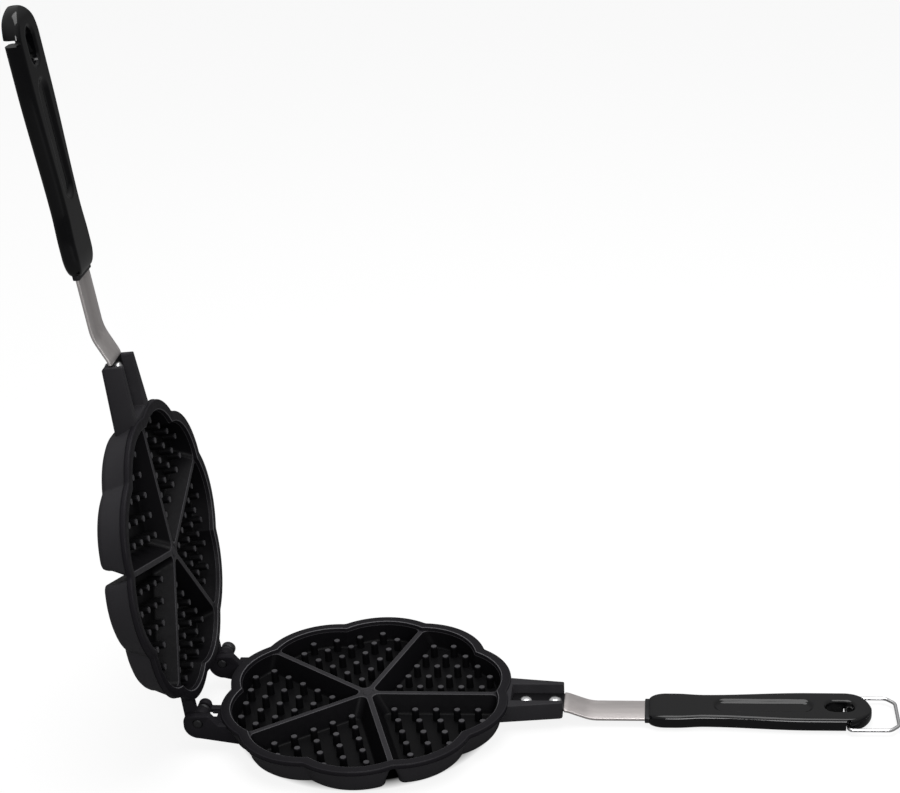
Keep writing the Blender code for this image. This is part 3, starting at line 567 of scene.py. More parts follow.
def mirrored(points: Points, axis: float) -> Points:
    """Return points mirrored about a line through the hub, in reverse order."""
    c, s = math.cos(2 * axis), math.sin(2 * axis)
    return [(x * c + y * s, x * s - y * c) for x, y in reversed(points)]


def closed(points: Points, tolerance: float = 1e-7) -> Points:
    """Return an outline without repeated neighbours.

    Args:
        points: the points.
        tolerance: how near counts as the same.

    Returns:
        The kept points.
    """
    kept: Points = []
    for point in points:
        if not kept or math.dist(point, kept[-1]) > tolerance:
            kept.append(point)
    if math.dist(kept[0], kept[-1]) <= tolerance:
        kept.pop()
    return kept


@dataclass(frozen=True)
class Lobes:
    """The lobed outline that rim, cups and dividers share: two lobes to a heart."""

    hearts: int = 5
    radius: float = 0.0440
    reach: float = 0.0452
    spread: float = math.radians(20.0)
    lobe_steps: int = 22
    fillet_steps: int = 7

    @property
    def sector(self) -> float:
        """Angle from one divider to the next."""
        return TAU / self.hearts

    @property
    def middle(self) -> float:
        """Angle of a heart's own axis."""
        return self.sector / 2

    @property
    def lobe(self) -> Point:
        """Centre of the first lobe of the heart beside +X."""
        angle = self.middle - self.spread
        return self.reach * math.cos(angle), self.reach * math.sin(angle)

    def heart(self, lobe_arc: float, rib: float, tip: float, corner: float,
              cleft: float) -> Points:
        """Return one heart between the dividers at 0 and one sector.

        Args:
            lobe_arc: radius of the lobes.
            rib: distance of the straight sides from the dividers' centre lines.
            tip: fillet at the hub.
            corner: fillet between a straight side and a lobe.
            cleft: fillet between the two lobes.

        Returns:
            The closed outline.
        """
        lobe = self.lobe
        tip_reach = (rib + tip) / math.sin(self.middle)
        tip_at = (tip_reach * math.cos(self.middle), tip_reach * math.sin(self.middle))
        rise = rib + corner
        run = lobe[0] + math.sqrt((lobe_arc - corner) ** 2 - (rise - lobe[1]) ** 2)
        corner_end = math.atan2(rise - lobe[1], run - lobe[0])
        cleft_at, cleft_start = self._cleft(lobe_arc, cleft)
        down = 3 * QUARTER
        half = arc(tip_at, tip, self.middle + math.pi, down, self.fillet_steps)
        half += arc((run, rise), corner, down - TAU, corner_end, self.fillet_steps)
        half += arc(lobe, lobe_arc, corner_end, cleft_start, self.lobe_steps)
        half += arc(cleft_at, cleft, cleft_start + math.pi, self.middle + math.pi,
                    self.fillet_steps)
        return closed(half + mirrored(half, self.middle))

    def _cleft(self, lobe_arc: float, fillet: float) -> tuple[Point, float]:
        """Return the centre of the fillet between a heart's lobes, and where it starts."""
        reach = self.reach * math.cos(self.spread) + math.sqrt(
            (lobe_arc + fillet) ** 2 - (self.reach * math.sin(self.spread)) ** 2)
        centre = (reach * math.cos(self.middle), reach * math.sin(self.middle))
        return centre, math.atan2(centre[1] - self.lobe[1], centre[0] - self.lobe[0])

    def flower(self, lobe_arc: float, valley: float) -> Points:
        """Return the whole ten-lobed outline.

        Args:
            lobe_arc: radius of the lobes.
            valley: fillet in each valley.

        Returns:
            The closed outline.
        """
        lobe = self.lobe
        reach = lobe[0] + math.sqrt((lobe_arc + valley) ** 2 - lobe[1] ** 2)
        start = math.atan2(-lobe[1], reach - lobe[0])
        cleft_at, cleft_start = self._cleft(lobe_arc, valley)
        half = arc((reach, 0.0), valley, math.pi, start + math.pi, self.fillet_steps)
        half += arc(lobe, lobe_arc, start, cleft_start, self.lobe_steps)
        half += arc(cleft_at, valley, cleft_start + math.pi, self.middle + math.pi,
                    self.fillet_steps)
        petal = half + mirrored(half, self.middle)
        return closed([point for index in range(self.hearts)
                       for point in turned_points(petal, index * self.sector)])


# Mesh building


class Shells:
    """One mesh that gathers closed shells, drawn in a half's own frame."""

    def __init__(self, light_level: float = 0.5) -> None:
        """Start empty, with the level of painted light and shade of the first points."""
        self.mesh = bmesh.new()
        self.painted_light = self.mesh.verts.layers.float.new(PAINTED_LIGHT)
        self.light_level = light_level

    def ring(self, points: Iterable[Sequence[float]]) -> Ring:
        """Add a ring of vertices.

        Args:
            points: their places.

        Returns:
            The ring.
        """
        made = [self.mesh.verts.new(point) for point in points]
        # Every vertex carries the current level of painted light and shade.
        for vert in made:
            vert[self.painted_light] = self.light_level
        return made

    def level(self, outline: Points, height: float) -> Ring:
        """Add an outline at one height."""
        return self.ring([(x, y, height) for x, y in outline])

    def upright(self, outline: Points, across: float) -> Ring:
        """Add a side view at one Y."""
        return self.ring([(x, across, z) for x, z in outline])

    def levels(self, outlines: Iterable[tuple[Points, float]],
               light_levels: Sequence[float]) -> list[Ring]:
        """Add outlines at their heights, each with its own level of painted light and shade.

        Args:
            outlines: pairs of an outline and its height.
            light_levels: the level of painted light and shade of each; the last one holds for what
                follows.

        Returns:
            The rings.
        """
        plain, rings = self.light_level, []
        for index, (outline, height) in enumerate(outlines):
            self.light_level = light_levels[min(index, len(light_levels) - 1)]
            rings.append(self.level(outline, height))
        self.light_level = plain
        return rings

    def skin(self, rings: Sequence[Ring], loop: bool = False) -> None:
        """Join neighbouring rings with quads.

        Args:
            rings: the rings, all with the same number of points.
            loop: whether the last one joins the first.
        """
        pairs = list(zip(rings, rings[1:])) + ([(rings[-1], rings[0])] if loop else [])
        for first, second in pairs:
            for index in range(len(first)):
                after = (index + 1) % len(first)
                self.mesh.faces.new((first[index], first[after], second[after], second[index]))

    def cap(self, ring: Ring) -> None:
        """Close a ring with one face."""
        self.mesh.faces.new(ring)

    def tube(self, rings: Sequence[Ring]) -> None:
        """Join rings and close both ends.

        Args:
            rings: the rings from end to end.
        """
        self.skin(rings)
        self.cap(rings[0])
        self.cap(rings[-1])

    def fill(self, rings: Iterable[Ring]) -> None:
        """Fill the flat area between rings.

        Args:
            rings: its edges, outer and inner ones.
        """
        edges = []
        for ring in rings:
            for index, vert in enumerate(ring):
                pair = (vert, ring[(index + 1) % len(ring)])
                edges.append(self.mesh.edges.get(pair) or self.mesh.edges.new(pair))
        bmesh.ops.triangle_fill(self.mesh, use_beauty=True, use_dissolve=False, edges=edges)

    def soften(self, width: float, segments: int = 2, sharp: float = 30.0,
               keep: Optional[Callable[[bmesh.types.BMEdge], bool]] = None) -> None:
        """Round the sharp edges.

        Args:
            width: width of the rounding.
            segments: its faces.
            sharp: the least angle that counts, in degrees.
            keep: picks the edges to round; all sharp ones if None.
        """
        bmesh.ops.recalc_face_normals(self.mesh, faces=self.mesh.faces)
        bmesh.ops.dissolve_limit(self.mesh, angle_limit=math.radians(0.5),
                                 verts=self.mesh.verts, edges=self.mesh.edges)
        picked = [edge for edge in self.mesh.edges
                  if len(edge.link_faces) == 2
                  and edge.calc_face_angle(0.0) > math.radians(sharp)
                  and (keep is None or keep(edge))]
        bmesh.ops.bevel(self.mesh, geom=picked, offset=width, offset_type="OFFSET",
                        segments=segments, profile=0.5, affect="EDGES", clamp_overlap=True)

    def absorb(self, other: "Shells") -> None:
        """Take over the shells of another gathering.

        Args:
            other: the gathering, which is then empty.
        """
        passing = bpy.data.meshes.new("passing")
        other.mesh.to_mesh(passing)
        self.mesh.from_mesh(passing)
        bpy.data.meshes.remove(passing)
        other.mesh.free()
        self.painted_light = self.mesh.verts.layers.float[PAINTED_LIGHT]

    def to_object(self, name: str, matrix: Matrix = Matrix.Identity(4)) -> Thing:
        """Return the gathered mesh as an object with its place in its mesh.

        Args:
            name: the object's name.
            matrix: where the half's own frame goes.

        Returns:
            The object, at the origin.
        """
        bmesh.ops.recalc_face_normals(self.mesh, faces=self.mesh.faces)
        self.mesh.transform(matrix)
        data = bpy.data.meshes.new(name)
        self.mesh.to_mesh(data)
        self.mesh.free()
        return shown(name, data)


def shown(name: str, data: bpy.types.Mesh) -> Thing:
    """Return a mesh as an object of the scene.

    Args:
        name: the object's name.
        data: the mesh.

    Returns:
        The object.
    """
    thing = bpy.data.objects.new(name, data)
    bpy.context.scene.collection.objects.link(thing)
    return thing


def prism(name: str, outline: Points, bottom: float, top: float) -> Thing:
    """Return a straight block on an outline.

    Args:
        name: the object's name.
        outline: its plan.
        bottom: height of its lower end.
        top: height of its upper end.

    Returns:
        The block.
    """
    shells = Shells()
    shells.tube([shells.level(outline, bottom), shells.level(outline, top)])
    return shells.to_object(name)


def settled(thing: Thing, helpers: Iterable[Thing] = ()) -> None:
    """Turn an object's modifiers into its plain mesh and remove its helpers.

    Args:
        thing: the object.
        helpers: objects that its modifiers used.
    """
    view = bpy.context.evaluated_depsgraph_get()
    made = bpy.data.meshes.new_from_object(thing.evaluated_get(view), depsgraph=view)
    thing.modifiers.clear()
    old = thing.data
    thing.data = made
    made.name = thing.name
    bpy.data.meshes.remove(old)
    for helper in helpers:
        bpy.data.objects.remove(helper)


def carve(thing: Thing, cutters: Sequence[Thing]) -> None:
    """Cut shapes out of a piece.

    Args:
        thing: the piece.
        cutters: what is cut away, and is then removed.
    """
    for cutter in cutters:
        modifier = thing.modifiers.new("cut", "BOOLEAN")
        modifier.operation = "DIFFERENCE"
        modifier.solver = "EXACT"
        modifier.object = cutter
    settled(thing, cutters)


# Studs made by geometry nodes


@dataclass
class StudTree(Nodes):
    """A node tree that sets one round-topped stud on every point of a mesh, marked with a painted
    highlight at its top.
    """

    # Painted highlight: the studs' tops are marked paler, up to this level at the very top, falling
    # off steeply with this power.
    light_level: float = 0.88
    highlight_power: float = 18.0
    ring_power: float = 0.6
    fullness: float = 1.001

    def __post_init__(self) -> None:
        """Build the tree with its named inputs."""
        super().__init__(bpy.data.node_groups.new("studs_on_points", "GeometryNodeTree"))
        self.inputs: dict[str, str] = {}
        face = self.tree.interface
        face.new_socket("Geometry", in_out="OUTPUT", socket_type="NodeSocketGeometry")
        for kind, labels in {
                "Geometry": ("Geometry",),
                "Float": ("Foot Radius", "Top Radius", "Height", "Crown Height", "Crown Power",
                          "Crown Share"),
                "Int": ("Sides", "Rings"),
                "Material": ("Finish",)}.items():
            for label in labels:
                socket = face.new_socket(label, in_out="INPUT", socket_type=f"NodeSocket{kind}")
                self.inputs[label] = socket.identifier
        self._wire()

    def _wire(self) -> None:
        """Lay out the stud and its copies."""
        get = self.add("NodeGroupInput").outputs
        foot, tall = get["Foot Radius"], get["Height"]
        blank = self.add("GeometryNodeMeshCylinder", {
            "Vertices": get["Sides"], "Side Segments": get["Rings"], "Radius": 1.0,
            "Depth": tall}, fill_type="NGON")
        place = self.add("GeometryNodeInputPosition").outputs[0]
        split = self.add("ShaderNodeSeparateXYZ", {0: place}).outputs
        rise = self.math("ADD", split["Z"], self.math("MULTIPLY", tall, 0.5))
        share = self.math("POWER", self.math("DIVIDE", rise, tall), self.ring_power)
        height = self.math("MULTIPLY", share, tall)
        taper = self.math("SUBTRACT", get["Top Radius"], foot)
        plain = self.math("ADD", foot, self.math("MULTIPLY", taper, share))
        shoulder = self.math("SUBTRACT", tall, get["Crown Height"])
        above = self.math("MAXIMUM", self.math("SUBTRACT", height, shoulder), 0.0)
        crown = self.math("DIVIDE", above, get["Crown Height"])
        drop = self.math("POWER", crown, get["Crown Power"])
        loss = self.math("MULTIPLY", drop, get["Crown Share"])
        keep = self.math("SQRT", self.math("SUBTRACT", self.fullness, loss))
        radius = self.math("MULTIPLY", plain, keep)
        moved = self.add("ShaderNodeCombineXYZ", {
            "X": self.math("MULTIPLY", split["X"], radius),
            "Y": self.math("MULTIPLY", split["Y"], radius), "Z": height})
        # Painted highlight, strongest at the stud's top.
        painted_light = self.math("MULTIPLY", self.math("POWER", share, self.highlight_power), self.light_level)
        mark = self.add("GeometryNodeStoreNamedAttribute", {
            "Geometry": blank.outputs["Mesh"], "Name": PAINTED_LIGHT, "Value": painted_light},
            data_type="FLOAT", domain="POINT")
        shape = self.add("GeometryNodeSetPosition", {
            "Geometry": mark.outputs["Geometry"], "Position": moved.outputs[0]})
        copies = self.add("GeometryNodeInstanceOnPoints", {
            "Points": get["Geometry"], "Instance": shape.outputs["Geometry"]})
        real = self.add("GeometryNodeRealizeInstances", {"Geometry": copies.outputs["Instances"]})
        paint = self.add("GeometryNodeSetMaterial", {
            "Geometry": real.outputs["Geometry"], "Material": get["Finish"]})
        self.add("NodeGroupOutput", {"Geometry": paint.outputs["Geometry"]})

    def studs(self, name: str, points: Sequence[Triple], matrix: Matrix,
              material: bpy.types.Material, **sizes: float) -> Thing:
        """Return studs standing on points, as one plain mesh.

        Args:
            name: the piece's name.
            points: feet of the studs in the half's own frame.
            matrix: where that frame goes.
            material: the studs' material.
            sizes: the tree's named inputs, with underscores for spaces.

        Returns:
            The piece, at the origin.
        """
        data = bpy.data.meshes.new(name)
        data.from_pydata(points, [], [])
        thing = shown(name, data)
        modifier = thing.modifiers.new("studs", "NODES")
        modifier.node_group = self.tree
        modifier[self.inputs["Finish"]] = material
        for label, value in sizes.items():
            modifier[self.inputs[label.replace("_", " ")]] = value
        settled(thing)
        thing.data.transform(matrix)
        return thing


# The castings


@dataclass
class Pegs:
    """The lattice of pegs on the floor of every heart."""

    pitch: float = 0.0128
    first_row: float = 0.0130
    last_index: int = 4
    last_sum: int = 5
    foot_radius: float = 0.0024
    top_radius: float = 0.0020
    top_depth: float = 0.0058
    sunk: float = 0.0004
    crown: float = 0.0004
    crown_power: float = 3.6
    crown_share: float = 0.26
    sides: int = 18
    rings: int = 9

    def places(self, lobes: Lobes) -> Points:
        """Return the peg centres of every heart.

        Args:
            lobes: the shared outline.

        Returns:
            The centres in plan.
        """
        sector = lobes.sector
        start = self.first_row / math.sin(sector)
        heart = []
        for row in range(self.last_index + 1):
            for column in range(min(self.last_index, self.last_sum - row) + 1):
                along, across = start + row * self.pitch, start + column * self.pitch
                heart.append((along + across * math.cos(sector), across * math.sin(sector)))
        return [point for index in range(lobes.hearts)
                for point in turned_points(heart, index * sector)]


@dataclass
class Knuckles:
    """Side views of the hinge lugs and arms that grow out of the cup wall."""

    lobes: Lobes
    near: float = -0.0381
    far: float = 0.0304
    lug_thickness: float = 0.0050
    arm_thickness: float = 0.0060
    gap: float = 0.0004
    radius: float = 0.0086
    lug_top: float = 0.0050
    lug_foot: float = 0.0144
    arm_foot: float = 0.0078
    chin: float = 0.0104
    eye: float = 0.0054
    heel_drop: float = 0.0040
    shelf_reach: float = 0.0064
    shelf_foot: float = 0.0034
    deck_start: float = -0.0250
    deck_foot: float = 0.0028
    web_reach: float = 0.0087
    web_start: float = -0.0297
    tongue_start: float = -0.0224
    tongue_end: float = -0.0176
    tongue_eye: float = 0.0040
    tongue_foot: float = 0.0036
    tongue_slack: float = 0.02
    step: float = 0.0014
    stop_top: float = 0.0014
    bore: float = 0.0030
    wall: float = 0.0381
    edge: float = 0.0007
    steps: int = 20
    shoulder_steps: int = 4
    bore_sides: int = 32

    @property
    def axis(self) -> Point:
        """The hinge axis in side view."""
        return PLACE.pivot().x, PLACE.pivot().z

    def root(self, across: float) -> float:
        """Return the X at which a bar at some Y ends, inside the cup wall."""
        lobe_x, lobe_y = (self.lobes.reach * part(self.lobes.spread) for part in (math.cos, math.sin))
        return -lobe_x - math.sqrt(self.wall ** 2 - (abs(across) - lobe_y) ** 2)

    def arm_centre(self, lug: float) -> float:
        """Return the Y of the arm that lies behind a lug."""
        return lug + self.lug_thickness / 2 + self.gap + self.arm_thickness / 2

    def lug(self, across: float) -> Points:
        """Return a lug's side view: round end, flat top, bar down to the wall.

        Args:
            across: the Y of the view.

        Returns:
            The closed outline.
        """
        (x, z), root = self.axis, self.root(across)
        lean = math.asin(self.lug_top / self.radius)
        half = self.radius * math.cos(lean)
        points = arc((x, z), self.radius, math.pi - lean, math.pi, self.shoulder_steps)[:-1]
        points += arc((x, z + self.radius - self.chin), self.radius, math.pi, 3 * QUARTER,
                      self.steps)
        points += [(root, -self.lug_foot), (root, -self.step),
                   (x + half + self.lug_top, -self.step), (x + half, z + self.lug_top)]
        return closed(points, tolerance=1e-5)

    def arm(self, across: float) -> Points:
        """Return an arm's side view: bar, small eye and the heel that meets the stop.

        Args:
            across: the Y of the view.

        Returns:
            The closed outline.
        """
        (x, z), root = self.axis, self.root(across)
        start = math.asin((-self.step - z) / self.eye)
        end = math.pi - math.acos(self.heel_drop / self.eye)
        points = arc((x, z), self.radius, math.pi, 3 * QUARTER, self.steps)
        points += [(root, -self.arm_foot), (root, -self.step)]
        points += arc((x, z), self.eye, start, end, self.steps)
        points += [(x - self.heel_drop, z + self.radius), (x - self.radius, z + self.radius)]
        return closed(points)

    def tongue(self, across: float) -> Points:
        """Return the side view of the thin tongue that carries the near pin's end.

        Args:
            across: the Y of the view.

        Returns:
            The closed outline.
        """
        (x, z), root, eye = self.axis, self.root(across), self.tongue_eye
        start = math.asin((self.tongue_foot + z) / eye)
        end = math.asin((self.step / 2 + z) / eye)
        points = [(x + eye * math.cos(end), z - eye * math.sin(end)), (root, -self.step / 2),
                  (root, -self.tongue_foot)]
        points += arc((x, z), eye, -start, end - TAU + self.tongue_slack, 2 * self.steps)
        return closed(points)

    def stop(self, across: float) -> Points:
        """Return the side view of the ledge that the open arm's heel meets.

        Args:
            across: the Y of the view.

        Returns:
            The closed outline.
        """
        (x, _), root = self.axis, self.root(across)
        face, shelf = x + self.radius + self.gap, x + self.shelf_reach
        lean = math.tan(PLACE.opening() - QUARTER)
        points = [(face + (self.lug_foot - self.stop_top) * lean, -self.lug_foot),
                  (root, -self.lug_foot), (root, -self.stop_top)]
        if across > 0:
            return points + [(face, -self.stop_top)]
        return points + [(shelf, -self.stop_top), (shelf, -self.shelf_foot),
                         (face, -self.shelf_foot)]

    def deck(self, reach: float, across: float) -> Points:
        """Return the side view of a thin deck beside the near nut, from a reach to the wall."""
        start = self.axis[0] + reach
        return box((start, -self.deck_foot), (self.root(across), -self.stop_top))

    def slab(self, view: Callable[[float], Points], centre: float, thickness: float,
             bored: bool) -> Shells:
        """Return a side view with thickness, softened, and bored for the pin.

        Args:
            view: gives the side view at a Y.
            centre: the slab's middle in Y.
            thickness: its thickness.
            bored: whether the pin passes through.

        Returns:
            The slab's shell.
        """
        shells = Shells()
        sides = (centre - thickness / 2, centre + thickness / 2)
        rings = [shells.upright(view(y), y) for y in sides]
        shells.skin(rings)
        if bored:
            hole = circle(self.bore, self.bore_sides, self.axis)
            bores = [shells.upright(hole, y) for y in sides]
            shells.skin(bores)
            for pair in zip(rings, bores):
                shells.fill(pair)
        else:
            for ring in rings:
                shells.cap(ring)
        shells.soften(self.edge)
        return shells

    def shells(self, side: Side) -> list[Shells]:
        """Return the slabs of one half.

        Args:
            side: which half.

        Returns:
            Lugs and stop ledges for the lower half, arms for the upper.
        """
        made = []
        for lug in (self.near, self.far):
            arm = self.arm_centre(lug)
            if side is Side.LOWER:
                made.append(self.slab(self.lug, lug, self.lug_thickness, True))
                made.append(self.slab(self.stop, arm, self.arm_thickness, False))
            else:
                made.append(self.slab(self.arm, -arm, self.arm_thickness, True))
        if side is Side.LOWER:
            web = partial(self.deck, self.web_reach)
            deck = partial(self.deck, self.shelf_reach - self.gap * 3)
            for view, start, end in ((web, self.web_start, self.deck_start + self.gap),
                                     (deck, self.deck_start, self.tongue_start),
                                     (self.tongue, self.tongue_start, self.tongue_end)):
                made.append(self.slab(view, (start + end) / 2, end - start, False))
        return made


@dataclass
class Tang:
    """The tapered root that the handle strip lies in."""

    root: float = 0.0815
    root_half: float = 0.0172
    end_half: float = 0.0123
    step: float = 0.0011
    chamfer: float = 0.0016
    overrun: float = 0.0010
    edge: float = 0.0006
    # Painted light: the tang is coloured paler than the coat's own colour.
    light_level: float = 0.74

    def rounded(self, edge: bmesh.types.BMEdge) -> bool:
        """Return whether an edge lies past the cup wall or along a flank, and is rounded."""
        past = all(vert.co.x > self.root + self.overrun for vert in edge.verts)
        return past or max(abs(vert.co.y) for vert in edge.verts) > self.root_half - 2 * self.chamfer

    def shells(self) -> Shells:
        """Return the tang with its channel open at the top and the end."""
        shells = Shells(self.light_level)
        end, start, width = HANDLE.tang_end, HANDLE.channel_start, HANDLE.channel_half
        inset, depth, height = self.chamfer, HANDLE.channel_depth, HANDLE.tang_height
        left = [(self.root, -self.root_half), (end, -self.end_half), (end, -width)]
        right = [(end, width), (end, self.end_half), (self.root, self.root_half)]
        back = [(start, -width), (start, width)]
        plain = left + right
        foot = [(min(x, end - inset), y - math.copysign(inset, y)) for x, y in plain]
        top = shells.level(left + back + right, -self.step)
        mid = shells.level(plain, -depth)
        floor = shells.level(back, -depth)
        low = shells.level(plain, inset - height)
        base = shells.level(foot, -height)
        shells.cap(top)
        shells.skin([top, mid[:3] + floor + mid[3:]])
        shells.cap([mid[2], *floor, mid[3]])
        shells.skin([mid, low, base])
        shells.cap(base)
        shells.soften(self.edge, segments=3, sharp=25.0, keep=self.rounded)
        return shells


@dataclass
class Casting:
    """One cast half: lobed rim, basin, five heart cups, tang and knuckles."""

    side: Side
    lobes: Lobes = field(default_factory=Lobes)
    pegs: Pegs = field(default_factory=Pegs)
    tang: Tang = field(default_factory=Tang)
    rim_width: float = 0.0064
    rim_thickness: float = 0.0028
    rim_round: float = 0.0009
    rim_draft: float = 0.0004
    valley: float = 0.0050
    plate_height: float = 0.0192
    cup_depth: float = 0.0134
    divider_top: float = 0.0036
    divider_drop: float = 0.0022
    ledge: float = 0.0003
    divider_draft: float = math.radians(25.4)
    wall_draft: float = math.radians(6.0)
    skirt_inset: float = 0.0010
    skirt_taper: float = 0.0040
    base_round: float = 0.0066
    groove_top: float = 0.0020
    groove_draft: float = math.radians(9.0)
    groove_round: float = 0.0018
    tip: float = 0.0040
    corner: float = 0.0040
    cleft: float = 0.0024
    edge_round: float = 0.0006
    floor_round: float = 0.0014
    root_round: float = 0.0012
    round_steps: int = 5
    button_radius: float = 0.0042
    button_depth: float = 0.0004
    button_sides: int = 40
    # Levels of painted light and shade, from 0 for painted shade to 1 for a painted highlight, 0.5
    # being the coat's own colour: painted light on the hub button, the skirts and the rim's outer
    # rounding, painted highlights along the dividers' tops and the rim's inner lip, and painted shade
    # on the rim's top and further down the cups.
    button_light_level: float = 0.8
    skirt_light_level: float = 0.76
    cup_light_levels: tuple[float, ...] = (0.78, 0.92, 0.9, 0.6, 0.25, 0.1, 0.05, 0.05, 0.03, 0.0)
    rim_light_levels: tuple[float, ...] = (0.34, 0.6, 0.6, 0.5)
    lip_light_levels: tuple[float, ...] = (0.42, 1.0, 1.0, 1.0, 0.5, 0.3)

    def rounding(self, radius: float) -> Points:
        """Return (inset, fall) pairs along a quarter round, from flat to steep."""
        return [(radius * inset, radius * fall) for inset, fall in quarter(self.round_steps)]

    def cup(self, shells: Shells, index: int, stations: Sequence[Triple],
            light_levels: Sequence[float]) -> Ring:
        """Add one side of a cup.

        Args:
            shells: the casting's shells.
            index: which sector.
            stations: radius of the lobes, half width of the divider, and depth.
            light_levels: the level of painted light and shade at each station.

        Returns:
            The first ring, which stays open.
        """
        outlines = []
        for lobe_arc, rib, depth in stations:
            heart = self.lobes.heart(lobe_arc, rib, self.tip, self.corner, self.cleft)
            outlines.append((turned_points(heart, index * self.lobes.sector), -depth))
        rings = shells.levels(outlines, light_levels)
        shells.skin(rings)
        shells.cap(rings[-1])
        return rings[0]

    def cell(self, shells: Shells, index: int) -> Ring:
        """Add the inside of one cup.

        Args:
            shells: the casting's shells.
            index: which sector.

        Returns:
            The cup's ring level with the dividers.
        """
        arc_top, drop = self.lobes.radius - self.rim_width - self.ledge, self.divider_drop
        rib_top = self.divider_top / 2
        deep = self.cup_depth - drop - self.floor_round
        arc_deep = arc_top - deep * math.tan(self.wall_draft)
        rib_deep = rib_top + deep * math.tan(self.divider_draft)
        stations = [(arc_top, rib_top - self.edge_round + inset, drop + fall)
                    for inset, fall in self.rounding(self.edge_round)]
        stations += [(arc_deep - inset, rib_deep + inset, drop + deep + fall)
                     for fall, inset in self.rounding(self.floor_round)]
        return self.cup(shells, index, stations, self.cup_light_levels)

    def skirt(self, shells: Shells, index: int) -> Ring:
        """Add the outside of one cup.

        Args:
            shells: the casting's shells.
            index: which sector.

        Returns:
            The cup's ring under the rim.
        """
        arc_top, rib_top = self.lobes.radius - self.skirt_inset, self.groove_top / 2
        arc_deep = arc_top - self.skirt_taper
        rib_deep = rib_top + (self.plate_height - self.rim_thickness) * math.tan(self.groove_draft)
        turns = quarter(self.round_steps)
        stations = [(arc_top + self.root_round * (1 - rise) ** 2, rib_top,
                     self.rim_thickness + self.root_round * rise) for rise, _ in turns[:-1]]
        stations += [(arc_deep - self.base_round * lead, rib_deep + self.groove_round * lead,
                      self.plate_height - self.base_round * (1 - rise)) for rise, lead in turns]
        return self.cup(shells, index, stations, (self.skirt_light_level,))

    def rim(self, shells: Shells) -> tuple[Ring, Ring]:
        """Add the rim's outer and inner sides, and its top.

        Args:
            shells: the casting's shells.

        Returns:
            The rings under the rim and at the basin's foot.
        """
        outer_arc, inner_arc = self.lobes.radius, self.lobes.radius - self.rim_width
        outer = [(outer_arc - self.rim_round + inset, fall)
                 for inset, fall in self.rounding(self.rim_round)]
        outer += [(outer_arc, self.rim_thickness - self.rim_round / 2),
                  (outer_arc - self.rim_round / 4, self.rim_thickness)]
        inner = [(inner_arc + self.rim_draft + self.edge_round - inset, fall)
                 for inset, fall in self.rounding(self.edge_round)]
        inner.append((inner_arc, self.divider_drop))
        sides = []
        for stations, valley, light_levels in ((outer, self.valley, self.rim_light_levels),
                                        (inner, self.cleft, self.lip_light_levels)):
            sides.append(shells.levels([(self.lobes.flower(lobe_arc, valley), -fall)
                                        for lobe_arc, fall in stations], light_levels))
            shells.skin(sides[-1])
        shells.fill([rings[0] for rings in sides])
        return sides[0][-1], sides[1][-1]

    def body_shells(self) -> Shells:
        """Return the rim, basin, cups and button as one closed shell."""
        shells = Shells()
        under, basin = self.rim(shells)
        cells = [self.cell(shells, index) for index in range(self.lobes.hearts)]
        depth, drop = self.button_depth, self.divider_drop
        button = shells.levels([
            (circle(self.button_radius - back * depth, self.button_sides), -drop - fall * depth)
            for back, fall in ((0, 0), (1, 1), (3, 1), (4, 0))], (self.button_light_level,))
        shells.fill([basin, *cells, button[0]])
        shells.skin(button)
        shells.cap(button[-1])
        skirts = [self.skirt(shells, index) for index in range(self.lobes.hearts)]
        shells.fill([under, *skirts])
        return shells

    def build(self, finishes: Finishes, studs: StudTree) -> None:
        """Make and dress the casting and its pegs.

        Args:
            finishes: the iron's finishes.
            studs: the tree that makes the pegs.
        """
        name, matrix = self.side.value, PLACE.matrix(self.side)
        coat, pegs = finishes.coat, self.pegs
        shells = self.body_shells()
        for other in (self.tang.shells(), *Knuckles(self.lobes).shells(self.side)):
            shells.absorb(other)
        casting = shells.to_object(f"{name}_casting", matrix)
        finishes.dress(casting, coat, self.side.body, f"{name}_plate")
        feet = [(x, y, -self.cup_depth - pegs.sunk) for x, y in pegs.places(self.lobes)]
        lattice = studs.studs(
            f"{name}_pegs", feet, matrix, finishes.material(coat), Foot_Radius=pegs.foot_radius,
            Top_Radius=pegs.top_radius, Height=self.cup_depth + pegs.sunk - pegs.top_depth,
            Crown_Height=pegs.crown, Crown_Power=pegs.crown_power, Crown_Share=pegs.crown_share,
            Sides=pegs.sides, Rings=pegs.rings)
        finishes.dress(lattice, coat, self.side.body, f"{name}_plate", sharp=50.0)


# The handles


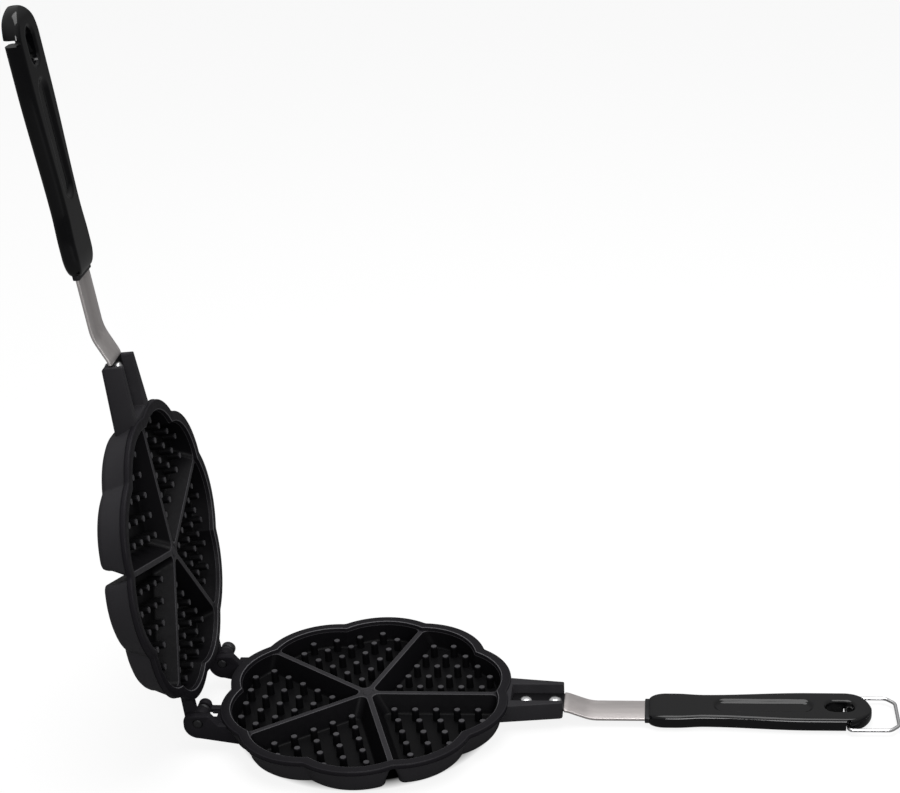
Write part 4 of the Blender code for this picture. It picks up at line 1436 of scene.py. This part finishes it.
@dataclass
class Strip:
    """The flat steel strip that joins casting and grip."""

    side: Side
    bend_start: float = 0.0022
    bend_run: float = 0.0150
    bend_rounds: Point = (0.00176, 0.0045)
    bend_steps: int = 8
    pocket: float = 0.0400
    edge: float = 0.0004
    edge_steps: int = 3

    @property
    def mouth(self) -> float:
        """Where the strip has left the channel and widens."""
        return HANDLE.tang_end + 2 * HANDLE.seat_gap

    def line(self) -> list[Triple]:
        """Return (x, z, half width) along the strip, with rounded bends."""
        gap, end = HANDLE.seat_gap, HANDLE.tang_end
        high = -HANDLE.strip_top - HANDLE.strip_thickness / 2
        low, first = high - HANDLE.bend_drop, end + self.bend_start
        corners = [Vector(corner) for corner in (
            (HANDLE.channel_start + gap * 3, high), (first, high), (first + self.bend_run, low),
            (HANDLE.grip_start + self.pocket, low))]
        points = [corners[0], Vector((end + gap, high))]
        for index, reach in enumerate(self.bend_rounds):
            points += bend(*corners[index:index + 3], reach, self.bend_steps)
        points.append(corners[-1])
        narrow, wide = HANDLE.channel_half - gap, HANDLE.strip_width / 2
        return [(p.x, p.y, narrow if p.x < self.mouth else wide) for p in points]

    def section(self, x: float, z: float, half: float) -> list[Triple]:
        """Return a cross-section with softened corners.

        Args:
            x: place along the strip.
            z: its level there.
            half: its half width there.

        Returns:
            The points.
        """
        thick, edge = HANDLE.strip_thickness / 2, self.edge
        flat = []
        for turn, (way, up) in enumerate(((1, -1), (1, 1), (-1, 1), (-1, -1))):
            centre = (way * (half - edge), up * (thick - edge))
            start = (turn - 1) * QUARTER
            flat += arc(centre, edge, start, start + QUARTER, self.edge_steps)
        return [(x, y, z + rise) for y, rise in flat]

    def build(self, finishes: Finishes) -> None:
        """Make and dress the strip, with painted shade where it lies in the channel.

        Args:
            finishes: the iron's finishes.
        """
        name, shells, rings = self.side.value, Shells(), []
        for station in self.line():
            # Painted shade inside the tang's channel.
            shells.light_level = 0.0 if station[0] < self.mouth else 1.0
            rings.append(shells.ring(self.section(*station)))
        shells.tube(rings)
        strip = shells.to_object(f"{name}_strip", PLACE.matrix(self.side))
        finishes.dress(strip, finishes.strip[self.side], self.side.body, f"{name}_handle_strip",
                       sharp=45.0)


@dataclass
class Rivets:
    """The two rivets that hold a strip in its tang."""

    side: Side
    inset: float = 0.0086
    pitch: float = 0.0178
    head_radius: float = 0.0041
    head_height: float = 0.0024
    head_crown: float = 0.85
    tail_radius: float = 0.0036
    tail_height: float = 0.0010
    tail_crown: float = 0.7
    taper: float = 0.97
    crown_power: float = 2.0
    crown_share: float = 0.82
    sides: int = 40
    rings: int = 14

    def build(self, finishes: Finishes, studs: StudTree) -> None:
        """Make and dress the heads on the strip and the tails under the tang.

        Args:
            finishes: the iron's finishes.
            studs: the tree that makes them.
        """
        name, bright, matrix = self.side.value, finishes.bright, PLACE.matrix(self.side)
        base = matrix @ Matrix.Translation(Vector((0.0, 0.0, -HANDLE.tang_height)))
        first = HANDLE.channel_start + self.inset
        for end, place, foot, radius, tall, crown in (
                ("heads", matrix, -HANDLE.strip_top, self.head_radius, self.head_height,
                 self.head_height * self.head_crown),
                ("tails", base @ tilt(math.pi), 0.0, self.tail_radius,
                 self.tail_height + HANDLE.seat_gap, self.tail_height * self.tail_crown)):
            rivets = studs.studs(
                f"{name}_rivet_{end}", [(x, 0.0, foot) for x in (first, first + self.pitch)],
                place, finishes.material(bright), Foot_Radius=radius,
                Top_Radius=radius * self.taper, Height=tall, Crown_Height=crown,
                Crown_Power=self.crown_power, Crown_Share=self.crown_share, Sides=self.sides,
                Rings=self.rings)
            finishes.dress(rivets, bright, self.side.body, f"{name}_rivet_inner",
                           f"{name}_rivet_outer", sharp=60.0)


@dataclass
class Grip:
    """The moulded grip with its dish, hanging hole and wire notch."""

    side: Side
    thickness: float = 0.0096
    nose_half: float = 0.0104
    bulb_half: float = 0.0146
    waist_half: float = 0.0133
    bulb_share: float = 0.12
    waist_share: float = 0.25
    full_share: float = 0.72
    nose_round: float = 0.0104
    nose_drop: float = 0.0022
    inner_round: float = 0.0028
    outer_round: float = 0.0050
    dish_lead: float = 0.0390
    dish_tail: float = 0.0351
    dish_half: float = 0.0074
    dish_depth: float = 0.0018
    dish_slope: float = 0.0030
    hole_setback: float = 0.0195
    hole_length: float = 0.0180
    hole_width: float = 0.0112
    hole_lip: float = 0.0016
    notch_gap: float = 0.0004
    notch_mouth: float = 0.0016
    pocket_half: float = 0.0106
    pocket_length: float = 0.0403
    head_height: float = 0.0020
    round_steps: int = 7
    round_most: float = 0.9
    lip_most: float = 0.995
    pitch: float = 0.0009
    flat_steps: int = 26
    nose_steps: int = 14
    end_steps: int = 22
    end_share: float = 0.985
    fade_start: float = 0.5
    corner_reach: float = 1.5
    slot_steps: int = 20
    well_sides: int = 28
    overrun: float = 0.001

    def stations(self) -> list[Triple]:
        """Return (x, half width, inner drop) along the grip."""
        begin, length, end_half = HANDLE.grip_start, HANDLE.grip_length, HANDLE.grip_end_half
        rows = [(begin + self.nose_round * lead,
                 self.nose_half + (self.bulb_half - self.nose_half) * swell,
                 self.nose_drop * (1 - swell)) for swell, lead in quarter(self.nose_steps)]
        marks = ((self.nose_round, self.bulb_half), (length * self.bulb_share, self.bulb_half),
                 (length * self.waist_share, self.waist_half),
                 (length * self.full_share, end_half), (length - end_half, end_half))
        for (near, wide), (far, narrow) in zip(marks, marks[1:]):
            steps = max(2, round((far - near) / self.pitch))
            for step in range(1, steps + 1):
                share = step / steps
                rows.append((begin + near + (far - near) * share,
                             wide + (narrow - wide) * eased(share), 0.0))
        for step in range(1, self.end_steps + 1):
            angle = math.asin(self.end_share) * step / self.end_steps
            fade = max(0.0, math.sin(angle) - self.fade_start) / (1 - self.fade_start)
            rows.append((begin + length - end_half + end_half * math.sin(angle) / self.end_share,
                         end_half * math.cos(angle), self.nose_drop * fade * fade))
        return rows

    @property
    def hole(self) -> float:
        """Where the hanging hole's middle lies."""
        return HANDLE.grip_end - self.hole_setback

    def hollow(self, x: float, y: float) -> float:
        """Return how far the inner face lies below its plane, from the dish and hole lip.

        Args:
            x: place along the grip.
            y: place across it.

        Returns:
            The depth.
        """
        start, end = HANDLE.grip_start + self.dish_lead, HANDLE.grip_end - self.dish_tail
        off = slot_distance(x, y, (start + end) / 2, (end - start) / 2 - self.dish_half)
        share = min(1.0, max(0.0, (self.dish_half - off) / self.dish_slope))
        return self.dish_depth * eased(share) + self.lip(x, y)

    def lip(self, x: float, y: float) -> float:
        """Return how far the hanging hole's rounded lip falls at a place.

        Args:
            x: place along the grip.
            y: place across it.

        Returns:
            The depth.
        """
        half = self.hole_width / 2
        off = slot_distance(x, y, self.hole, self.hole_length / 2 - half) - half
        share = min(self.lip_most, max(0.0, 1 - off / self.hole_lip))
        return self.hole_lip * (1 - math.sqrt(1 - share ** 2))

    def run(self, start: float, height: float) -> Points:
        """Return the inner points of a flat face, from a Y to its mirror image."""
        steps = self.flat_steps
        return [(start - 2 * start * step / steps, height) for step in range(1, steps)]

    def section(self, x: float, half: float, drop: float) -> list[Triple]:
        """Return one cross-section, inner side up.

        Args:
            x: place along the grip.
            half: its half width there.
            drop: how far its faces draw in.

        Returns:
            The points.
        """
        inner, outer = self.thickness - HANDLE.grip_outer - drop, drop - HANDLE.grip_outer
        room = min(half, (inner - outer) / 2) * self.round_most
        small, large = min(self.inner_round, room), min(self.outer_round, room)
        steps = self.round_steps
        points = arc((half - large, outer + large), large, -QUARTER, 0.0, steps)
        points += arc((half - small, inner - small), small, 0.0, QUARTER, steps)
        points += self.run(half - small, inner)
        points += arc((small - half, inner - small), small, QUARTER, 2 * QUARTER, steps)
        points += arc((large - half, outer + large), large, 2 * QUARTER, 3 * QUARTER, steps)
        points += self.run(large - half, outer)
        made = []
        for y, z in points:
            if z > inner - small:
                z -= self.hollow(x, y) * min(1.0, (z - inner + small) / small)
            elif z < outer + large:
                z += self.lip(x, y) * min(1.0, (outer + large - z) / large)
            made.append((x, y, z))
        return made

    def hole_outline(self) -> Points:
        """Return the hanging hole's outline."""
        half = self.hole_width / 2
        reach = self.hole_length / 2 - half
        points = arc((self.hole + reach, 0.0), half, -QUARTER, QUARTER, self.slot_steps)
        points += arc((self.hole - reach, 0.0), half, QUARTER, 3 * QUARTER, self.slot_steps)
        return closed(points)

    def slot(self, reach: float, matrix: Matrix) -> Thing:
        """Return a cutter for the wire along Y, round inside and open towards -Z.

        Args:
            reach: half of its length.
            matrix: its place.

        Returns:
            The cutter.
        """
        wire, depth = HANDLE.wire, HANDLE.notch_depth + HANDLE.wire
        outline = arc((0.0, 0.0), wire + self.notch_gap, 0.0, 2 * QUARTER, self.slot_steps)
        outline += [(-self.notch_mouth, -depth), (self.notch_mouth, -depth)]
        shells = Shells()
        shells.tube([shells.upright(outline, y) for y in (-reach, reach)])
        return shells.to_object("slot_cutter", matrix)

    def cutters(self) -> list[Thing]:
        """Return what is cut from the grip: pocket, hole, screw well and notch."""
        over, gap, wide = self.overrun, HANDLE.seat_gap, self.pocket_half
        start, outer, level = HANDLE.grip_start, HANDLE.grip_outer, HANDLE.strip_level
        pocket = box((start - over, -wide), (start + self.pocket_length, wide))
        well = circle(HANDLE.screw_head + gap, self.well_sides, (start + HANDLE.screw_reach, 0.0))
        made = [
            prism("pocket_cutter", pocket, -level - HANDLE.strip_thickness - gap, gap - level),
            prism("hole_cutter", self.hole_outline(), -outer - over,
                  over - outer + self.thickness),
            prism("well_cutter", well, -outer - over,
                  HANDLE.screw_bury + self.head_height - outer)]
        corner = HANDLE.ring_half - HANDLE.ring_chamfer - HANDLE.wire
        side_reach = HANDLE.ring_chamfer * self.corner_reach + over
        for hand, reach in ((0, HANDLE.ring_half + over), (-1, side_reach), (1, side_reach)):
            place = Vector((HANDLE.notch, hand * corner, -HANDLE.notch_level))
            made.append(self.slot(reach, Matrix.Translation(place) @ tilt(hand * QUARTER / 2)))
        return made

    def build(self, finishes: Finishes) -> None:
        """Make and dress the grip.

        Args:
            finishes: the iron's finishes.
        """
        name, shells = self.side.value, Shells()
        shells.tube([shells.ring(self.section(*station)) for station in self.stations()])
        grip = shells.to_object(f"{name}_moulded_grip")
        carve(grip, self.cutters())
        grip.data.transform(PLACE.matrix(self.side))
        finishes.dress(grip, finishes.phenolic, self.side.body, f"{name}_grip", sharp=38.0)


@dataclass
class Collar:
    """The dark collar that closes the grip's mouth round the strip."""

    side: Side
    length: float = 0.0022
    sunk: float = 0.0012
    wall: float = 0.0007
    edge: float = 0.0006

    def build(self, finishes: Finishes) -> None:
        """Make and dress the collar.

        Args:
            finishes: the iron's finishes.
        """
        name, gap, wall = self.side.value, HANDLE.seat_gap, self.wall
        half, level = HANDLE.strip_width / 2 + gap, -HANDLE.strip_level
        top, bottom = level + gap, level - HANDLE.strip_thickness - gap
        outer = box((-half - wall, bottom - wall), (half + wall, top + wall))
        inner = box((-half, bottom), (half, top))
        start, end = HANDLE.grip_start - gap - self.length, HANDLE.grip_start + self.sunk
        shells = Shells()
        rings = [shells.ring([(x, y, z) for y, z in outline]) for outline, x in (
            (outer, start), (outer, end), (inner, end), (inner, start))]
        shells.skin(rings, loop=True)
        shells.soften(self.edge, segments=3,
                      keep=lambda edge: max(abs(v.co.y) for v in edge.verts) > half + wall / 2)
        collar = shells.to_object(f"{name}_collar", PLACE.matrix(self.side))
        finishes.dress(collar, finishes.black, self.side.body, f"{name}_grip_collar")


@dataclass
class GripScrew:
    """The slotted screw in a well on the grip's outer face."""

    side: Side
    head_height: float = 0.0017
    slot_width: float = 0.0009
    slot_depth: float = 0.0008
    slot_share: float = 1.2
    dome: float = 0.0004
    profile: tuple[Point, ...] = ((0.55, 0.0), (0.86, 0.35), (0.97, 0.75), (1.0, 1.4))
    sides: int = 36

    def build(self, finishes: Finishes) -> None:
        """Make and dress the screw's head.

        Args:
            finishes: the iron's finishes.
        """
        name, shells = self.side.value, Shells()
        top, head = HANDLE.screw_bury - HANDLE.grip_outer, HANDLE.screw_head
        rows = [(share, self.dome * rise) for share, rise in self.profile]
        shells.tube([shells.level(circle(head * share, self.sides), top + rise)
                     for share, rise in rows + [(1.0, self.head_height)]])
        screw = shells.to_object(f"{name}_screw_head")
        half, long = self.slot_width / 2, head * self.slot_share
        carve(screw, [prism("slot_cutter", box((-long, -half), (long, half)),
                            top - self.slot_depth, top + self.slot_depth)])
        along = Vector((HANDLE.grip_start + HANDLE.screw_reach, 0.0, 0.0))
        screw.data.transform(PLACE.matrix(self.side) @ Matrix.Translation(along))
        finishes.dress(screw, finishes.bright, self.side.body, f"{name}_grip_screw")


# Hinge fasteners and lock ring


@dataclass
class HingeSet:
    """Pin, washer and nut of both knuckles."""

    knuckles: Knuckles
    pin_radius: float = 0.0026
    pin_proud: float = 0.0003
    pin_face: float = 0.5
    washer_radius: float = 0.0038
    washer_round: float = 0.0005
    washers: Point = (0.0018, 0.0040)
    nut_radius: float = 0.0044
    nut_round: float = 0.0009
    nuts: Point = (0.0020, 0.0046)
    round_shares: tuple[float, ...] = (0.0, 0.3, 0.65, 1.0)
    gap: float = 0.0003
    sides: int = 48

    def turned(self, name: str, profile: Points) -> Thing:
        """Return a piece turned about the hinge axis.

        Args:
            name: its name.
            profile: (y, radius) pairs; it is closed at both ends.

        Returns:
            The piece in its place.
        """
        shells = Shells()
        shells.tube([shells.upright(circle(radius, self.sides, self.knuckles.axis), y)
                     for y, radius in profile])
        return shells.to_object(name, PLACE.matrix(Side.LOWER))

    def disc(self, start: float, end: float, radius: float, round_off: float) -> Points:
        """Return the profile of a disc with rounded edges.

        Args:
            start: where it starts along the axis.
            end: where it ends.
            radius: its radius.
            round_off: the rounding of its edges.

        Returns:
            (y, radius) pairs.
        """
        edge = [(round_off * share, radius - round_off * (1 - math.sqrt(1 - (1 - share) ** 2)))
                for share in self.round_shares]
        rise = [(start + back, wide) for back, wide in edge]
        fall = [(end - back, wide) for back, wide in reversed(edge)]
        return [(start, self.pin_radius), *rise, *fall, (end, self.pin_radius)]

    def build(self, finishes: Finishes) -> None:
        """Make and dress the hinge fasteners.

        Args:
            finishes: the iron's finishes.
        """
        knuckles, gap, wide = self.knuckles, self.gap, self.pin_radius
        small = wide - self.pin_proud
        lugs = (knuckles.near, knuckles.far)
        for label, lug, spacer, tall in zip(("near", "far"), lugs, self.washers, self.nuts):
            front = lug - knuckles.lug_thickness / 2 - self.pin_proud
            washer = knuckles.arm_centre(lug) + knuckles.arm_thickness / 2 + knuckles.gap
            nut = washer + spacer + gap
            end = nut + tall
            profiles = {
                "pin": [(front, small * self.pin_face), (front, small),
                        (front + self.pin_proud, wide), (end - gap * 3, wide),
                        (end - gap * 2, small)],
                "washer": self.disc(washer, washer + spacer, self.washer_radius,
                                    self.washer_round),
                "nut": self.disc(nut, end, self.nut_radius, self.nut_round),
            }
            for kind, profile in profiles.items():
                piece = self.turned(f"{kind}_{label}", profile)
                finishes.dress(piece, finishes.black, Side.LOWER.body, f"hinge_{kind}_{label}",
                               sharp=50.0)


@dataclass
class LockRing:
    """The chamfered wire ring in the lower grip's notch."""

    heel: float = 0.0014
    least_side: float = 2.2
    bend_steps: int = 8
    sides: int = 18

    def line(self) -> list[Vector]:
        """Return the wire's centre line in plan, with rounded bends."""
        length = 2 * HANDLE.notch_level + PLACE.parting_gap
        half, heel, cut = HANDLE.ring_half, self.heel, HANDLE.ring_chamfer
        corners = [Vector(p) for p in (
            (0.0, heel - half), (0.0, half - heel), (heel, half), (length - cut, half),
            (length, half - cut), (length, cut - half), (length - cut, -half), (heel, -half))]
        points = []
        for index, corner in enumerate(corners):
            before, after = corners[index - 1], corners[(index + 1) % len(corners)]
            reach = min(2 * HANDLE.wire, (before - corner).length / self.least_side,
                        (after - corner).length / self.least_side)
            points += bend(before, corner, after, reach, self.bend_steps)
        return points

    def build(self, finishes: Finishes) -> None:
        """Make and dress the ring.

        Args:
            finishes: the iron's finishes.
        """
        shells, line, rings = Shells(), self.line(), []
        for index, centre in enumerate(line):
            along = (line[(index + 1) % len(line)] - line[index - 1]).normalized()
            across = Vector((-along.y, along.x))
            rings.append(shells.ring([
                (HANDLE.notch + centre.x + across.x * a, centre.y + across.y * a,
                 b - HANDLE.notch_level) for a, b in circle(HANDLE.wire, self.sides)]))
        shells.skin(rings, loop=True)
        ring = shells.to_object("lock_ring", PLACE.matrix(Side.LOWER))
        finishes.dress(ring, finishes.bright, "bail", "lock_bail", sharp=60.0)


# Studio


@dataclass
class Studio:
    """Pale floor, soft lamps and the camera."""

    azimuth: float = math.radians(0.863)
    elevation: float = math.radians(30.843)
    unit: float = 0.078
    distance: float = 14.129
    aside: float = 2.117
    above: float = 0.395
    lens: float = 71.63284
    sensor: float = 36.0
    shift: Point = (-0.2065556, 0.2728889)
    floor_size: float = 6.0
    floor_drop: float = 0.0001
    floor_colour: float = 0.20
    floor_glow: float = 0.84
    floor_rough: float = 0.9
    floor_specular: float = 0.1
    shade_start: float = 0.071
    shade_end: float = 0.081
    world_low: float = 0.10
    world_high: float = 0.52
    world_rise: float = 0.8

    def camera(self) -> None:
        """Set the camera where the photograph was taken from."""
        a, e = self.azimuth, self.elevation
        back = Vector((math.sin(a) * math.cos(e), -math.cos(a) * math.cos(e), math.sin(e)))
        right = Vector((0.0, 0.0, 1.0)).cross(back).normalized()
        up = back.cross(right)
        away = (right * self.aside + up * self.above + back * self.distance) * self.unit
        data = bpy.data.cameras.new("view")
        data.sensor_width = self.sensor
        data.lens = self.lens
        data.shift_x, data.shift_y = self.shift
        eye = bpy.data.objects.new("view", data)
        eye.location = PLACE.hub() - Vector((0.0, 0.0, Casting.divider_drop)) + away
        eye.rotation_euler = (QUARTER - e, 0.0, a)
        bpy.context.scene.collection.objects.link(eye)
        bpy.context.scene.camera = eye

    def floor(self) -> None:
        """Lay the pale floor, which the camera sees white, with a painted shadow under the pan."""
        half, hub, shells = self.floor_size / 2, PLACE.hub(), Shells()
        shells.cap(shells.level(box((-half, -half), (half, half)), -self.floor_drop))
        floor = shells.to_object("floor")
        sheet = NodeSheet("pale_floor")
        away = sheet.add("ShaderNodeVectorMath", {0: sheet.place, 1: (hub.x, hub.y, 0.0)},
                         operation="DISTANCE").outputs["Value"]
        # Painted shadow: near the hub the floor is black, glow and colour alike, clearing between
        # shade_start and shade_end.
        clear = sheet.add("ShaderNodeMapRange", {
            "Value": away, "From Min": self.shade_start,
            "From Max": self.shade_end}).outputs["Result"]
        seen = sheet.add("ShaderNodeLightPath").outputs["Is Camera Ray"]
        glow = sheet.math("MULTIPLY", sheet.math("MULTIPLY", seen, self.floor_glow), clear)
        sheet.shade(Roughness=self.floor_rough, Specular_IOR_Level=self.floor_specular,
                    Base_Color=sheet.math("MULTIPLY", clear, self.floor_colour))
        light = sheet.add("ShaderNodeEmission", {"Strength": glow}).outputs[0]
        both = sheet.add("ShaderNodeAddShader", {0: sheet.shader.outputs[0], 1: light})
        sheet.feed(sheet.tree.nodes["Material Output"].inputs["Surface"], both.outputs[0])
        floor.data.materials.append(sheet.material)

    def lamp(self, name: str, place: Triple, target: Triple, side: float, power: float) -> None:
        """Hang one soft square lamp.

        Args:
            name: its name.
            place: where it hangs.
            target: what it points at.
            side: its side.
            power: in watts.
        """
        data = bpy.data.lights.new(name, "AREA")
        data.shape = "RECTANGLE"
        data.size = side
        data.size_y = side
        data.energy = power
        lamp = bpy.data.objects.new(name, data)
        lamp.location = place
        aim = Vector(target) - Vector(place)
        lamp.rotation_euler = aim.to_track_quat("-Z", "Y").to_euler()
        bpy.context.scene.collection.objects.link(lamp)

    def world(self) -> None:
        """Light the room evenly, white where the camera sees it."""
        world = bpy.data.worlds.new("room")
        bpy.context.scene.world = world
        world.use_nodes = True
        nodes = Nodes(world.node_tree)
        way = nodes.add("ShaderNodeTexCoord").outputs["Generated"]
        up = nodes.add("ShaderNodeSeparateXYZ", {0: way}).outputs["Z"]
        sky = nodes.add("ShaderNodeMapRange", {
            "Value": up, "From Max": self.world_rise, "To Min": self.world_low,
            "To Max": self.world_high}).outputs["Result"]
        seen = nodes.add("ShaderNodeLightPath").outputs["Is Camera Ray"]
        background = nodes.tree.nodes["Background"]
        nodes.feed(background.inputs["Color"], (1.0, 1.0, 1.0, 1.0))
        nodes.feed(background.inputs["Strength"], nodes.math("MAXIMUM", seen, sky))

    def build(self) -> None:
        """Set up the studio."""
        bpy.context.scene.view_settings.view_transform = "Standard"
        self.camera()
        self.floor()
        self.world()
        self.lamp("top_lamp", place=(0.1, 0.1, 1.5), target=(0.0, 0.0, 0.0), side=1.0, power=11.0)
        self.lamp("front_lamp", place=(0.3, -1.4, 0.8), target=(0.0, 0.0, 0.1), side=0.5,
                  power=8.0)


def main() -> None:
    """Build every piece in order."""
    finishes = Finishes()
    studs = StudTree()
    for side in Side:
        Casting(side).build(finishes, studs)
        Strip(side).build(finishes)
        Rivets(side).build(finishes, studs)
        Grip(side).build(finishes)
        Collar(side).build(finishes)
        GripScrew(side).build(finishes)
    HingeSet(Knuckles(Lobes())).build(finishes)
    LockRing().build(finishes)
    Studio().build()


if __name__ == "__main__":
    logging.basicConfig(level=logging.INFO, format="%(message)s")
    main()
